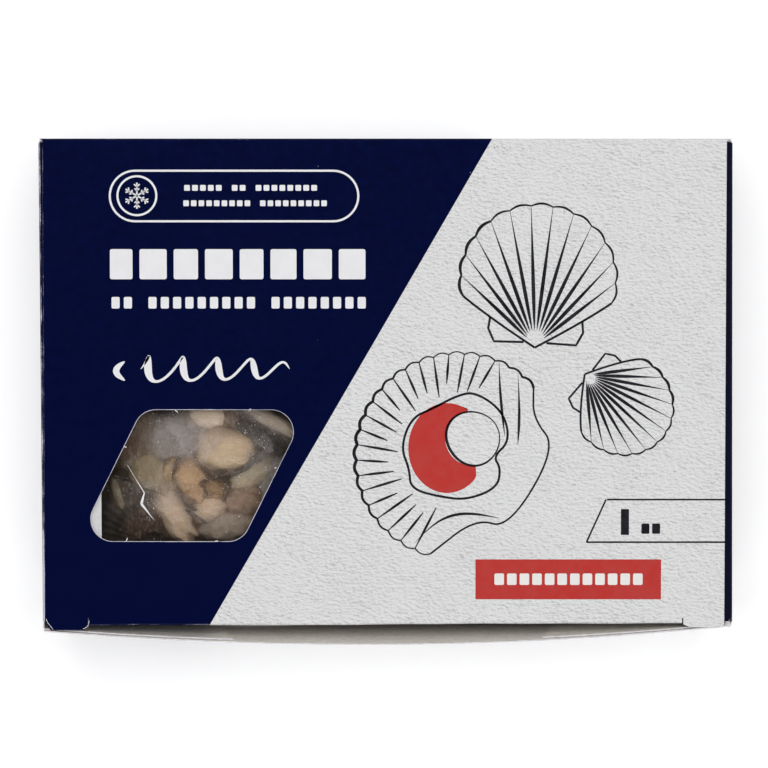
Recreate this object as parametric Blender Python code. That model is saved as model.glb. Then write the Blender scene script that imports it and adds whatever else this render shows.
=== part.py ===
"""A closed, windowed folding carton of frozen scallops, lying on its base with the printed lid up.

The carton is one die-cut blank of thin board: a base, four walls, a dust flap folded in from each
side wall, a glued flap inside each front corner, and a lid that hinges on the back wall and tucks in
behind the front wall. The front wall bows outwards at its rim. The lid has a die-cut window, and under
it lies a sealed film bag of scallops. +X is right, +Y is the hinge, +Z is up, and the origin is at the
middle of the underside.
"""
import math

import bpy
import numpy as np

# Driving dimensions, in metres
BOARD = 0.0005  # walls and base
FLAP_BOARD = 0.00045  # lid and flaps, whose creases overlap the walls they fold from
HEIGHT = 0.0600
BACK_Y = 0.0875
LEFT_X_BACK, LEFT_X_FRONT = -0.12015, -0.11945  # the sides aren't quite square to the hinge
RIGHT_X_BACK, RIGHT_X_FRONT = 0.11935, 0.12015
CORNER_RADIUS = 0.0011

FRONT_Y_BASE = -0.0820
RIM_Y_LEFT, RIM_Y_RIGHT = -0.0834, -0.0814  # front corners at the rim
RIM_BOW = 0.0056  # how far the middle of the rim stands out from its corners
BOW_CENTRE_X = 0.005
BOW_POWER = 1.6  # growth of the bow with height
FRONT_RIM_Z = 0.0597
SIDE_RIM_Z = 0.0575  # where the flaps and the lid take over from the walls

LID_LEFT_X, LID_RIGHT_X = -0.1186, 0.1172
CREASE_Y_LEFT, CREASE_Y_RIGHT = -0.0815, -0.0803
FOLD_RADIUS = 0.0009
TUCK_LEFT_X, TUCK_RIGHT_X = -0.1032, 0.1026
SLIT = 0.0004  # the hook cuts at both ends of the tuck flap's crease
TUCK_DEPTH = 0.0170
SHOULDER_Y_LEFT, SHOULDER_Y_RIGHT = -0.0828, -0.0818
CHAMFER_LEFT, CHAMFER_RIGHT = (0.0022, 0.0030), (0.0010, 0.0007)  # the lid's front corners, x and y
PLATE_END_Y = -0.0785  # the lid is flat from the hinge to here
FLAP_OVERLAP = 0.0030  # how far the lid and the dust flaps reach down into the walls they fold from

WINDOW_CENTRE = (-0.0674, -0.0290)
WINDOW_SIZE = (0.0569, 0.0456)
WINDOW_SHEAR = 0.0227  # the top edge lies this far to the right of the bottom edge
WINDOW_RADIUS = 0.0077
WINDOW_CUT_Z = (0.05935, 0.0610)  # above the dust flaps, which stay whole under the window

DUST_FLAP_REACH = 0.0207
DUST_FLAP_Z = 0.0592  # its upper face
DUST_FLAP_Y = (-0.0760, 0.0840)
DUST_FLAP_TAPER = 0.006
DUST_FLAP_CORNER = 0.002
GLUE_FLAP_REACH_TOP, GLUE_FLAP_REACH_LOW = 0.066, 0.052
GLUE_FLAP_Z = (0.004, 0.0575)
GLUE_FLAP_STANDOFF = 0.000135  # its middle surface stands this far off the wall's inner face

BAG_HALF = (0.1130, 0.0775)
BAG_CENTRE_Y = 0.0030
BAG_LOW, BAG_SEAM_Z, BAG_TOP = 0.0008, 0.0200, 0.0535
BAG_LUMP = 0.0012
BAG_SQUARENESS = 6  # a higher power fills the pillow out to its seam
UNDERSIDE_SWELL = 1.25  # the underside flattens out sooner than the top
LUMPS_ACROSS, LUMPS_ALONG = 165, 185  # radians a metre
LUMP_SWAYS = (120, 90)  # radians a metre, bending the rows of lumps
LUMP_SWAY = 1.3
BAG_CELLS = (44, 32)

WALL_LEVELS = 7
FRONT_COLUMNS = 23
PLATE_ROWS = 7
SHOULDER_COLUMNS = 3
CREASE_COLUMNS = 12
GLUE_FLAP_COLUMNS = 7
ARC_STEPS = 4
WELD_DISTANCE = 0.00001


def clear_scene():
    for obj in list(bpy.data.objects):
        bpy.data.objects.remove(obj, do_unlink=True)


def material(name, colour, roughness, metallic=0.0):
    made = bpy.data.materials.new(name)
    made.use_nodes = True
    shader = made.node_tree.nodes["Principled BSDF"]
    shader.inputs["Base Color"].default_value = (*colour, 1.0)
    shader.inputs["Roughness"].default_value = roughness
    shader.inputs["Metallic"].default_value = metallic
    made.diffuse_color = (*colour, 1.0)
    return made


def add_object(name, points, faces, helper=False):
    """A new object at the origin; a helper only feeds another object's modifiers."""
    mesh = bpy.data.meshes.new(name)
    mesh.from_pydata([tuple(map(float, p)) for p in points], [], faces)
    obj = bpy.data.objects.new(name, mesh)
    bpy.context.scene.collection.objects.link(obj)
    if helper:
        obj.hide_render = True
        obj.display_type = "WIRE"
    return obj


def grid_faces(rows, columns, wrap=False):
    """Quads between neighbouring points of a grid; wrap joins the last column to the first."""
    return [
        (
            r * columns + c,
            r * columns + (c + 1) % columns,
            (r + 1) * columns + (c + 1) % columns,
            (r + 1) * columns + c,
        )
        for r in range(rows - 1)
        for c in range(columns if wrap else columns - 1)
    ]


def sheet(name, grid, skip=()):
    """A helper sheet of flap board whose middle surface is the grid (rows, columns, xyz)."""
    rows, columns = grid.shape[:2]
    faces = [f for f in grid_faces(rows, columns) if f[0] not in skip]
    obj = add_object(name, grid.reshape(-1, 3), faces, helper=True)
    thicken = obj.modifiers.new("board", "SOLIDIFY")
    thicken.thickness = FLAP_BOARD
    thicken.offset = 0.0
    thicken.use_even_offset = True
    return obj


def join(obj, other, operation="UNION"):
    boolean = obj.modifiers.new(other.name, "BOOLEAN")
    boolean.operation = operation
    boolean.solver = "EXACT"
    boolean.object = other


def between(low, high, share):
    return low + (high - low) * share


def front_wall_y(x, rise):
    """The front wall's outer face: straight at the base, bowed outwards at the rim (rise 0 to 1)."""
    across = (x - LEFT_X_FRONT) / (RIGHT_X_FRONT - LEFT_X_FRONT)
    half = np.where(x < BOW_CENTRE_X, BOW_CENTRE_X - LEFT_X_FRONT, RIGHT_X_FRONT - BOW_CENTRE_X)
    bow = RIM_BOW * (1 - ((x - BOW_CENTRE_X) / half) ** 2)
    rim = between(RIM_Y_LEFT, RIM_Y_RIGHT, across) - bow
    return between(FRONT_Y_BASE, rim, rise**BOW_POWER)


def wall_outline(rise, inset):
    """The tray's plan at a height (rise 0 to 1), as xy points anticlockwise from the front left."""
    radius = CORNER_RADIUS - inset
    x_front = np.array([LEFT_X_FRONT + inset, RIGHT_X_FRONT - inset])
    x_back = np.array([LEFT_X_BACK + inset, RIGHT_X_BACK - inset])
    y_front = front_wall_y(np.array([LEFT_X_FRONT, RIGHT_X_FRONT]), rise) + inset
    y_back = BACK_Y - inset
    corners = [
        (x_front[1] - radius, y_front[1] + radius, -90),
        (x_back[1] - radius, y_back - radius, 0),
        (x_back[0] + radius, y_back - radius, 90),
        (x_front[0] + radius, y_front[0] + radius, 180),
    ]
    x = np.linspace(x_front[0] + radius, x_front[1] - radius, FRONT_COLUMNS)[1:-1]
    points = [np.stack([x, front_wall_y(x, rise) + inset], axis=1)]
    for cx, cy, start in corners:
        turn = np.radians(start + np.linspace(0, 90, ARC_STEPS))
        points.append(np.stack([cx + radius * np.cos(turn), cy + radius * np.sin(turn)], axis=1))
    return np.concatenate(points)


def make_tray():
    """Base and walls as one shell: rings up the outside, over the rim and down the inside."""
    count = len(wall_outline(0.0, 0.0))
    rim_z = np.full(count, SIDE_RIM_Z)
    rim_z[: FRONT_COLUMNS - 2] = FRONT_RIM_Z
    rings = []
    for rise in np.linspace(0, 1, WALL_LEVELS):
        rings.append(np.column_stack([wall_outline(rise, 0.0), rise * rim_z]))
    for rise in np.linspace(1, 0, WALL_LEVELS):
        z = between(BOARD, rim_z, rise)
        rings.append(np.column_stack([wall_outline(rise, BOARD), z]))
    faces = grid_faces(len(rings), count, wrap=True)
    last = (len(rings) - 1) * count
    faces.append(tuple(range(count - 1, -1, -1)))
    faces.append(tuple(range(last, last + count)))
    return add_object("carton", np.concatenate(rings), faces)


def make_lid():
    """The lid with its hinge fold and tuck flap, and the flat slit-lock shoulders at both ends."""
    middle = FLAP_BOARD / 2
    bend = FOLD_RADIUS - middle
    hinge_y = BACK_Y - BOARD / 2
    top_z = HEIGHT - middle
    turn = np.radians(np.linspace(0, 90, ARC_STEPS + 1))
    hinge = [(hinge_y, SIDE_RIM_Z - FLAP_OVERLAP), (hinge_y, top_z - bend)]
    hinge += [(hinge_y - bend + bend * math.cos(a), top_z - bend + bend * math.sin(a)) for a in turn[1:]]
    plate = [(y, top_z) for y in np.linspace(hinge[-1][0], PLATE_END_Y, PLATE_ROWS)[1:]]
    shared = hinge + plate
    left = np.linspace(LID_LEFT_X, TUCK_LEFT_X - SLIT, SHOULDER_COLUMNS)
    left[1] = LID_LEFT_X + CHAMFER_LEFT[0]
    centre = np.linspace(TUCK_LEFT_X, TUCK_RIGHT_X, CREASE_COLUMNS)
    right = np.linspace(TUCK_RIGHT_X + SLIT, LID_RIGHT_X, SHOULDER_COLUMNS)
    right[1] = LID_RIGHT_X - CHAMFER_RIGHT[0]
    columns = []
    for x in np.concatenate([left, centre, right]):
        if x in centre:
            crease = np.interp(x, [LID_LEFT_X, LID_RIGHT_X], [CREASE_Y_LEFT, CREASE_Y_RIGHT]) + middle
            fold = [(crease + bend - bend * math.sin(a), top_z - bend + bend * math.cos(a)) for a in turn]
            tail = fold + [(crease, z) for z in (top_z - TUCK_DEPTH / 2, top_z - TUCK_DEPTH)]
        else:
            end = SHOULDER_Y_LEFT if x < 0 else SHOULDER_Y_RIGHT
            if x == left[0]:
                end += CHAMFER_LEFT[1]
            if x == right[-1]:
                end += CHAMFER_RIGHT[1]
            tail = [(y, top_z) for y in np.linspace(PLATE_END_Y, end, len(turn) + 3)[1:]]
        columns.append([(x, y, z) for y, z in shared + tail])
    grid = np.array(columns).transpose(1, 0, 2)
    rows, width = grid.shape[:2]
    slit_columns = (len(left) - 1, len(left) + len(centre) - 1)
    skip = {r * width + c for r in range(len(shared) - 1, rows) for c in slit_columns}
    lid = sheet("lid_sheet", grid, skip)
    join(lid, make_window_cutter(), "DIFFERENCE")
    return lid


def make_window_cutter():
    """A prism through the lid only: a parallelogram with rounded corners."""
    lean = WINDOW_SHEAR / WINDOW_SIZE[1]
    half_x, half_y = WINDOW_SIZE[0] / 2, WINDOW_SIZE[1] / 2
    corners = [(-half_x, -half_y), (half_x, -half_y), (half_x, half_y), (-half_x, half_y)]
    corners = np.array([(x + lean * y, y) for x, y in corners]) + WINDOW_CENTRE
    outline = []
    for i, corner in enumerate(corners):
        before = corners[i - 1] - corner
        after = corners[(i + 1) % 4] - corner
        before, after = before / np.linalg.norm(before), after / np.linalg.norm(after)
        half_angle = math.acos(float(before @ after)) / 2
        middle = (before + after) / np.linalg.norm(before + after)
        centre = corner + middle * WINDOW_RADIUS / math.sin(half_angle)
        first = corner + before * WINDOW_RADIUS / math.tan(half_angle) - centre
        swing = math.pi - 2 * half_angle
        for share in np.linspace(0, 1, 2 * ARC_STEPS):
            c, s = math.cos(swing * share), math.sin(swing * share)
            outline.append(centre + [first[0] * c - first[1] * s, first[0] * s + first[1] * c])
    count = len(outline)
    points = [(x, y, z) for z in WINDOW_CUT_Z for x, y in outline]
    faces = grid_faces(2, count, wrap=True)
    faces += [tuple(range(count - 1, -1, -1)), tuple(range(count, 2 * count))]
    return add_object("window_cutter", points, faces, helper=True)


def make_dust_flap(side):
    """A side wall's flap, folded in under the lid with tapered ends; side is -1 left or 1 right."""
    middle = FLAP_BOARD / 2
    bend = FOLD_RADIUS - middle
    near, far = DUST_FLAP_Y
    y = np.array([near, near + DUST_FLAP_CORNER, far - DUST_FLAP_CORNER, far])
    ends = (LEFT_X_FRONT, LEFT_X_BACK) if side < 0 else (RIGHT_X_FRONT, RIGHT_X_BACK)
    wall = np.interp(y, [front_wall_y(ends[0], 1.0), BACK_Y], ends) - side * BOARD / 2
    top_z = DUST_FLAP_Z - middle
    rows = [np.column_stack([wall, y, np.full(len(y), SIDE_RIM_Z - FLAP_OVERLAP)])]
    rows.append(np.column_stack([wall, y, np.full(len(y), top_z - bend)]))
    for a in np.radians(np.linspace(0, 90, ARC_STEPS + 1))[1:]:
        x = wall - side * bend * (1 - math.cos(a))
        rows.append(np.column_stack([x, y, np.full(len(y), top_z - bend + bend * math.sin(a))]))
    tapered = y + DUST_FLAP_TAPER * np.array([1, 1, -1, -1])
    reach = wall - side * DUST_FLAP_REACH
    rows.append(np.column_stack([reach, tapered, np.full(len(y), top_z)]))
    return sheet("dust_flap_left" if side < 0 else "dust_flap_right", np.array(rows))


def make_glue_flap(side):
    """A side wall's flap glued to the inside of the front wall, with a slanting free end."""
    rows = []
    start = LEFT_X_FRONT if side < 0 else RIGHT_X_FRONT
    for share in np.linspace(0, 1, WALL_LEVELS):
        z = between(*GLUE_FLAP_Z, share)
        reach = between(GLUE_FLAP_REACH_LOW, GLUE_FLAP_REACH_TOP, share)
        x = start - side * np.linspace(CORNER_RADIUS, reach, GLUE_FLAP_COLUMNS)
        y = front_wall_y(x, z / FRONT_RIM_Z) + BOARD + GLUE_FLAP_STANDOFF
        rows.append(np.column_stack([x, y, np.full(GLUE_FLAP_COLUMNS, z)]))
    return sheet("glue_flap_left" if side < 0 else "glue_flap_right", np.array(rows))


def make_bag():
    """The film bag of scallops: a pillow on a level seam, lumpy on top and flat where it lies."""
    across, along = BAG_CELLS
    u, v = np.meshgrid(np.linspace(-1, 1, across + 1), np.linspace(-1, 1, along + 1))
    x, y = BAG_HALF[0] * u, BAG_CENTRE_Y + BAG_HALF[1] * v
    swell = np.sqrt((1 - u**BAG_SQUARENESS) * (1 - v**BAG_SQUARENESS))
    sway_x, sway_y = LUMP_SWAY * np.sin(y * LUMP_SWAYS[0]), np.sin(x * LUMP_SWAYS[1])
    lumps = np.sin(x * LUMPS_ACROSS + sway_x) * np.sin(y * LUMPS_ALONG + sway_y)
    top = BAG_SEAM_Z + (BAG_TOP - BAG_SEAM_Z + BAG_LUMP * lumps) * swell
    low = BAG_SEAM_Z - (BAG_SEAM_Z - BAG_LOW) * np.minimum(1, UNDERSIDE_SWELL * swell)
    points = np.concatenate([np.stack([x, y, z], axis=2).reshape(-1, 3) for z in (top, low)])
    upper = grid_faces(along + 1, across + 1)
    count = (along + 1) * (across + 1)
    lower = [tuple(count + i for i in reversed(face)) for face in upper]
    bag = add_object("scallop_bag", points, upper + lower)
    seam = bag.modifiers.new("seam", "WELD")
    seam.merge_threshold = WELD_DISTANCE
    return bag


def main():
    clear_scene()
    carton = make_tray()
    join(carton, make_lid())
    for side in (-1, 1):
        join(carton, make_dust_flap(side))
        join(carton, make_glue_flap(side))
    carton.data.materials.append(material("printed_board", (0.002, 0.004, 0.03), 0.45))
    bag = make_bag()
    bag.data.materials.append(material("frosted_film_bag", (0.55, 0.48, 0.40), 0.4))
    bag.data.shade_smooth()


main()
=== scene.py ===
import math

import bmesh
import bpy
import numpy as np
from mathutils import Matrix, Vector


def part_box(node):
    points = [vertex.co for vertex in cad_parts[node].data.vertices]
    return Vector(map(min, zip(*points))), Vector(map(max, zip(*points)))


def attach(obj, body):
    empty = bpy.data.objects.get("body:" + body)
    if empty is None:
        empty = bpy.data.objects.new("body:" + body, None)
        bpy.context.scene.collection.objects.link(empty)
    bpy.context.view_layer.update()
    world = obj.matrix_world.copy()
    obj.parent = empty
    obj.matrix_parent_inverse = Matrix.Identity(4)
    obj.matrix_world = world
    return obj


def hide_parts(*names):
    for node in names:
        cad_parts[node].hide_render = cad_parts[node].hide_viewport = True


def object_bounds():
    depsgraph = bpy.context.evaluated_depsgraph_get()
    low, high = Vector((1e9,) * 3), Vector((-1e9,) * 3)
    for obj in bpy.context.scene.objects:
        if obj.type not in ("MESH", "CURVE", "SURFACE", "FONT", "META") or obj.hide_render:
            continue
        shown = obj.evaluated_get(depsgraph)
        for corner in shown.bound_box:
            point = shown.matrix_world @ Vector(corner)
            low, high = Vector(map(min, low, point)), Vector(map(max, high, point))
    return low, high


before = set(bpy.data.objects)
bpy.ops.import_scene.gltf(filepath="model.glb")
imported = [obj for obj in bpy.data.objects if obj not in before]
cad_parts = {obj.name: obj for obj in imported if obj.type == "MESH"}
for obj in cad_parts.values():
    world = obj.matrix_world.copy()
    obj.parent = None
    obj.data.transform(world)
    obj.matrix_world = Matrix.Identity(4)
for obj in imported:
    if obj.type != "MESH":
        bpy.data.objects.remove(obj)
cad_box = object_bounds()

# --- Camera, floor and lights ---------------------------------------------------------------------
# The carton lies on its base and is looked at from above, a little from the hinge side. The floor is a
# pale sweep. Four soft boxes stand round the carton, and the one over it isn't mirrored in the lid.

LOW, HIGH = np.array(cad_box)
TOP = float(HIGH[2])
CAMERA_DISTANCE = 1.10
CAMERA_LEAN = math.radians(2.9)
FRAME_WIDTH = 0.26557  # what the camera takes in across the lid's plane
SENSOR_MM = 36
CAMERA_AIM = np.array([-0.0009, 0.0028, TOP])


def add_object(name, data):
    """A new object in the scene."""
    made = bpy.data.objects.new(name, data)
    bpy.context.scene.collection.objects.link(made)
    return made


camera = add_object("camera", bpy.data.cameras.new("camera"))
backwards = np.array([0, math.sin(CAMERA_LEAN), math.cos(CAMERA_LEAN)])
camera.location = CAMERA_AIM + CAMERA_DISTANCE * backwards
camera.rotation_euler = (-CAMERA_LEAN, 0, 0)
camera.data.sensor_width = SENSOR_MM
camera.data.lens = SENSOR_MM * CAMERA_DISTANCE / FRAME_WIDTH
camera.data.clip_start = 0.01
bpy.context.scene.camera = camera
bpy.context.scene.view_settings.view_transform = "Standard"


def set_inputs(tree, node, inputs):
    """Links each of the node's inputs that is given a socket, and sets the others."""
    for key, value in inputs.items():
        if isinstance(value, bpy.types.NodeSocket):
            tree.links.new(value, node.inputs[key])
        else:
            node.inputs[key].default_value = value
    return node


def add_node(tree, kind, inputs=None, **settings):
    """A new node with its settings and inputs."""
    node = tree.nodes.new(kind)
    for key, value in settings.items():
        setattr(node, key, value)
    return set_inputs(tree, node, inputs or {})


def shade(tree, **inputs):
    """Sets or links inputs of the material's shader; an underscore in a name stands for a space."""
    shader = tree.nodes["Principled BSDF"]
    set_inputs(tree, shader, {key.replace("_", " "): value for key, value in inputs.items()})


def new_material(name, **inputs):
    """A material with only a Principled BSDF, and its node tree."""
    made = bpy.data.materials.new(name)
    made.use_nodes = True
    shade(made.node_tree, **inputs)
    return made, made.node_tree


FLOOR_SIZE = 4.0
FLOOR_DROP = 0.0002  # the floor lies this much lower than the carton's base
floor_material, _ = new_material(
    "pale_sweep", Roughness=0.9, Base_Color=(0.85, 0.85, 0.86, 1), Emission_Color=(1, 1, 1, 1),
    Emission_Strength=0.34, Specular_IOR_Level=0.1)
floor_corners = [(x * FLOOR_SIZE / 2, y * FLOOR_SIZE / 2, float(LOW[2]) - FLOOR_DROP)
                 for x, y in ((-1, -1), (1, -1), (1, 1), (-1, 1))]
floor_mesh = bpy.data.meshes.new("floor")
floor_mesh.from_pydata(floor_corners, [], [(0, 1, 2, 3)])
floor_mesh.materials.append(floor_material)
floor = add_object("floor", floor_mesh)

# name: place in metres, size, power in watts, whether gloss mirrors it
SOFT_BOXES = {
    "front_box": ((0.0, -1.05, 0.95), (1.3, 0.7), 7.0, True),
    "left_box": ((-1.15, 0.1, 0.9), (0.8, 1.0), 5.5, True),
    "right_box": ((1.15, 0.1, 0.9), (0.8, 1.0), 5.5, True),
    "back_box": ((0.0, 1.2, 0.85), (1.3, 0.6), 4.5, True),
    "top_box": ((0.0, 0.50, 1.85), (1.5, 1.3), 18.0, False),
}
for name, (place, size, power, mirrored) in SOFT_BOXES.items():
    lamp = bpy.data.lights.new(name, "AREA")
    lamp.shape = "RECTANGLE"
    lamp.size, lamp.size_y = size
    lamp.energy = power
    lamp_object = add_object(name, lamp)
    lamp_object.location = place
    lamp_object.visible_glossy = mirrored
    towards = np.array([0, 0, TOP / 2]) - place
    yaw = math.atan2(towards[1], towards[0]) - math.pi / 2
    pitch = math.atan2(math.hypot(towards[0], towards[1]), -towards[2])
    lamp_object.rotation_euler = (pitch, 0, yaw)

world = bpy.data.worlds.new("studio")
world.use_nodes = True
bpy.context.scene.world = world
sky = world.node_tree
up = add_node(sky, "ShaderNodeTexCoord")
height = add_node(sky, "ShaderNodeSeparateXYZ", {0: up.outputs["Generated"]})
HORIZON_GLOW, ZENITH_GLOW, BACKDROP = 0.0225, 0.001, 0.90
HORIZON_TOP, ZENITH_EDGE = 0.15, 0.75
glow = add_node(sky, "ShaderNodeMapRange", {
    "Value": height.outputs["Z"], "From Min": HORIZON_TOP, "From Max": ZENITH_EDGE,
    "To Min": HORIZON_GLOW, "To Max": ZENITH_GLOW})
# The camera sees a pale backdrop, and the light that the walls get from it stays dim.
seen = add_node(sky, "ShaderNodeLightPath").outputs["Is Camera Ray"]
backdrop = add_node(sky, "ShaderNodeMath", {0: seen, 1: BACKDROP}, operation="MULTIPLY").outputs[0]
shown = add_node(sky, "ShaderNodeMath", {0: glow.outputs[0], 1: backdrop}, operation="MAXIMUM").outputs[0]
set_inputs(sky, sky.nodes["Background"], {"Color": (1, 1, 1, 1), "Strength": shown})

# --- The board's surfaces -------------------------------------------------------------------------
# The blank is die-cut from coated folding board: printed and satin varnished outside, raw grey-brown
# inside, with whitish fibres where it is cut. Print wears off along the creases, dust lies on it, and
# along the lid's front fold the same lightening is also a painted highlight.


def new_group(name, inputs, outputs):
    """An empty shader group; inputs are name: (socket type, default), outputs name: socket type."""
    tree = bpy.data.node_groups.new(name, "ShaderNodeTree")
    for key, (kind, value) in inputs.items():
        socket = tree.interface.new_socket(key, in_out="INPUT", socket_type=kind)
        socket.default_value = value
    for key, kind in outputs.items():
        tree.interface.new_socket(key, in_out="OUTPUT", socket_type=kind)
    return tree, tree.nodes.new("NodeGroupInput"), tree.nodes.new("NodeGroupOutput")


def use_group(tree, group, inputs):
    """The outputs of a new node that runs the group."""
    return add_node(tree, "ShaderNodeGroup", inputs, node_tree=group).outputs


def noise(tree, vector, scale, detail=2.0, distortion=0.0, roughness=0.5):
    return add_node(tree, "ShaderNodeTexNoise", {
        "Vector": vector, "Scale": scale, "Detail": detail,
        "Distortion": distortion, "Roughness": roughness}).outputs["Fac"]


def ramp(tree, value, low, high, to_low=0.0, to_high=1.0):
    return add_node(tree, "ShaderNodeMapRange", {
        "Value": value, "From Min": low, "From Max": high,
        "To Min": to_low, "To Max": to_high}, interpolation_type="SMOOTHSTEP").outputs[0]


def maths(tree, operation, first, second=0.0):
    return add_node(tree, "ShaderNodeMath", {0: first, 1: second}, operation=operation).outputs[0]


def times(tree, first, second):
    return maths(tree, "MULTIPLY", first, second)


def plus(tree, first, second):
    return maths(tree, "ADD", first, second)


def minus(tree, first, second):
    return maths(tree, "SUBTRACT", first, second)


def mix(tree, share, first, second, blend="MIX"):
    """Colours first and second, mixed by share. A Mix node keeps its colour sockets at these places."""
    return add_node(tree, "ShaderNodeMix", {0: share, 6: first, 7: second},
                    data_type="RGBA", blend_type=blend).outputs[2]


def bump(tree, height, strength, distance):
    return add_node(tree, "ShaderNodeBump", {
        "Height": height, "Strength": strength, "Distance": distance}).outputs["Normal"]


def mapped(tree, vector, **inputs):
    """The vector moved, turned or scaled, as Location, Rotation and Scale say."""
    return add_node(tree, "ShaderNodeMapping", {"Vector": vector, **inputs}).outputs[0]


def object_place(tree, scale=(1, 1, 1)):
    """Object coordinates, stretched so that a pattern gets a grain direction."""
    return mapped(tree, add_node(tree, "ShaderNodeTexCoord").outputs["Object"], Scale=scale)


def painted(tree, name):
    """The outputs of an attribute that the mesh carries on its points."""
    return add_node(tree, "ShaderNodeAttribute", attribute_name=name).outputs


def line_of(tree, level, inner, outer):
    """Thin winding lines: 1 where the noise level crosses its middle, 0 further than outer from it."""
    return ramp(tree, maths(tree, "ABSOLUTE", minus(tree, level, 0.5)), inner, outer, 1.0, 0.0)


def fade(colour, share):
    """The colour with each of its channels times share, one number or three."""
    return (*np.multiply(colour[:3], share).tolist(), 1)


# Stucco paper: the light grey printed ground, with short wavy creases, fine grain and a few dark specks.
stucco, entry, leave = new_group(
    "stucco paper",
    {"Vector": ("NodeSocketVector", (0, 0, 0)), "Light": ("NodeSocketColor", (0.72, 0.72, 0.725, 1)),
     "Dark": ("NodeSocketColor", (0.36, 0.36, 0.355, 1))},
    {"Color": "NodeSocketColor", "Height": "NodeSocketFloat"},
)
flat = mapped(stucco, entry.outputs["Vector"], Scale=(1.0, 1.7, 1.0))
crease_sets = []
for scale, spin, width in ((210, 0.30, 0.030), (380, -0.45, 0.040)):
    turned = mapped(stucco, flat, Rotation=(0, 0, spin))
    line = line_of(stucco, noise(stucco, turned, scale, detail=3.0, distortion=0.6), 0.0, width)
    broken = ramp(stucco, noise(stucco, turned, scale * 0.7, detail=2.0), 0.48, 0.62)
    crease_sets.append(times(stucco, line, broken))
creases = maths(stucco, "MAXIMUM", *crease_sets)
grain = noise(stucco, entry.outputs["Vector"], 2600, detail=3.0, roughness=0.6)
cloud = noise(stucco, entry.outputs["Vector"], 45, detail=2.0)
cells = add_node(stucco, "ShaderNodeTexVoronoi", {"Vector": entry.outputs["Vector"], "Scale": 95.0})
chosen = add_node(stucco, "ShaderNodeSeparateColor", {0: cells.outputs["Color"]}).outputs[0]
spot = ramp(stucco, cells.outputs["Distance"], 0.012, 0.03, 1.0, 0.0)
speck = times(stucco, spot, ramp(stucco, chosen, 0.86, 0.88))
# The paper is printed as if lit from one side: where its relief falls away it is darker.
moved = mapped(stucco, flat, Location=(0.00016, 0.00034, 0))
relief, relief_beside = (noise(stucco, where, 620, detail=3.0, distortion=0.3) for where in (flat, moved))
fall = times(stucco, minus(stucco, relief, relief_beside), 3.4)
grainy = times(stucco, ramp(stucco, grain, 0.35, 0.7), 0.16)
depth = plus(stucco, times(stucco, creases, 0.40), plus(stucco, grainy, fall))
depth = plus(stucco, depth, times(stucco, ramp(stucco, cloud, 0.35, 0.7), 0.08))
paper = mix(stucco, depth, entry.outputs["Light"], entry.outputs["Dark"])
paper = mix(stucco, times(stucco, speck, 0.7), paper, (0.12, 0.11, 0.11, 1))
set_inputs(stucco, leave, {"Color": paper, "Height": depth})

# Wear: where the print is rubbed or cracked off; on the lid's front fold the mask also paints the
# fold's highlight. Amount is 1 in the middle of a crease.
wear_and_highlight, entry, leave = new_group(
    "crease wear",
    {"Vector": ("NodeSocketVector", (0, 0, 0)), "Amount": ("NodeSocketFloat", 0.0)},
    {"Mask": "NodeSocketFloat"},
)
coarse = noise(wear_and_highlight, entry.outputs["Vector"], 180, detail=3.0)
fine = noise(wear_and_highlight, entry.outputs["Vector"], 1900, detail=3.0, roughness=0.65)
level = plus(wear_and_highlight, times(wear_and_highlight, coarse, 0.55), times(wear_and_highlight, fine, 0.45))
level = minus(wear_and_highlight, plus(wear_and_highlight, level, entry.outputs["Amount"]), 1.0)
set_inputs(wear_and_highlight, leave, {"Mask": ramp(wear_and_highlight, level, -0.08, 0.18)})

# Specks: small round spots scattered at random. They serve as dust, as flecks of pulp and as frost.
dust, entry, leave = new_group(
    "dust specks",
    {"Vector": ("NodeSocketVector", (0, 0, 0)), "Scale": ("NodeSocketFloat", 170.0),
     "Share": ("NodeSocketFloat", 0.10), "Size": ("NodeSocketFloat", 0.035)},
    {"Mask": "NodeSocketFloat"},
)
cells = add_node(dust, "ShaderNodeTexVoronoi", {
    "Vector": entry.outputs["Vector"], "Scale": entry.outputs["Scale"]})
chosen = add_node(dust, "ShaderNodeSeparateColor", {0: cells.outputs["Color"]}).outputs[0]
picked = maths(dust, "GREATER_THAN", chosen, minus(dust, 1.0, entry.outputs["Share"]))
inner_size = times(dust, entry.outputs["Size"], 0.4)
spot = ramp(dust, cells.outputs["Distance"], inner_size, entry.outputs["Size"], 1.0, 0.0)
set_inputs(dust, leave, {"Mask": times(dust, picked, spot)})

# Board coat: the varnish's faint unevenness, as a roughness and a height.
coat, entry, leave = new_group(
    "board coat",
    {"Vector": ("NodeSocketVector", (0, 0, 0)), "Roughness": ("NodeSocketFloat", 0.42)},
    {"Roughness": "NodeSocketFloat", "Height": "NodeSocketFloat"},
)
fine = noise(coat, entry.outputs["Vector"], 1500, detail=3.0)
broad = noise(coat, entry.outputs["Vector"], 90, detail=2.0)
uneven = plus(coat, times(coat, fine, 0.5), times(coat, broad, 0.5))
rough = plus(coat, entry.outputs["Roughness"], times(coat, minus(coat, uneven, 0.5), 0.25))
set_inputs(coat, leave, {"Roughness": rough, "Height": uneven})

NAVY = (0.0004, 0.0020, 0.0250, 1)
# The right wall's navy is the same print, painted darker and less blue as painted shade.
SHADED_NAVY = (0.0036, 0.0042, 0.0150, 1)
FIBRE_WHITE, FIBRE_GREY = (0.66, 0.64, 0.72, 1), (0.42, 0.41, 0.50, 1)
# The navy field ends on a slanting line across the lid, through these two points (x, y) in metres.
FIELD_LOW, FIELD_HIGH = (-0.0617, float(LOW[1]) + 0.0065), (0.0364, float(HIGH[1]))
FIELD_BLUR = 0.00006


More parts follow.
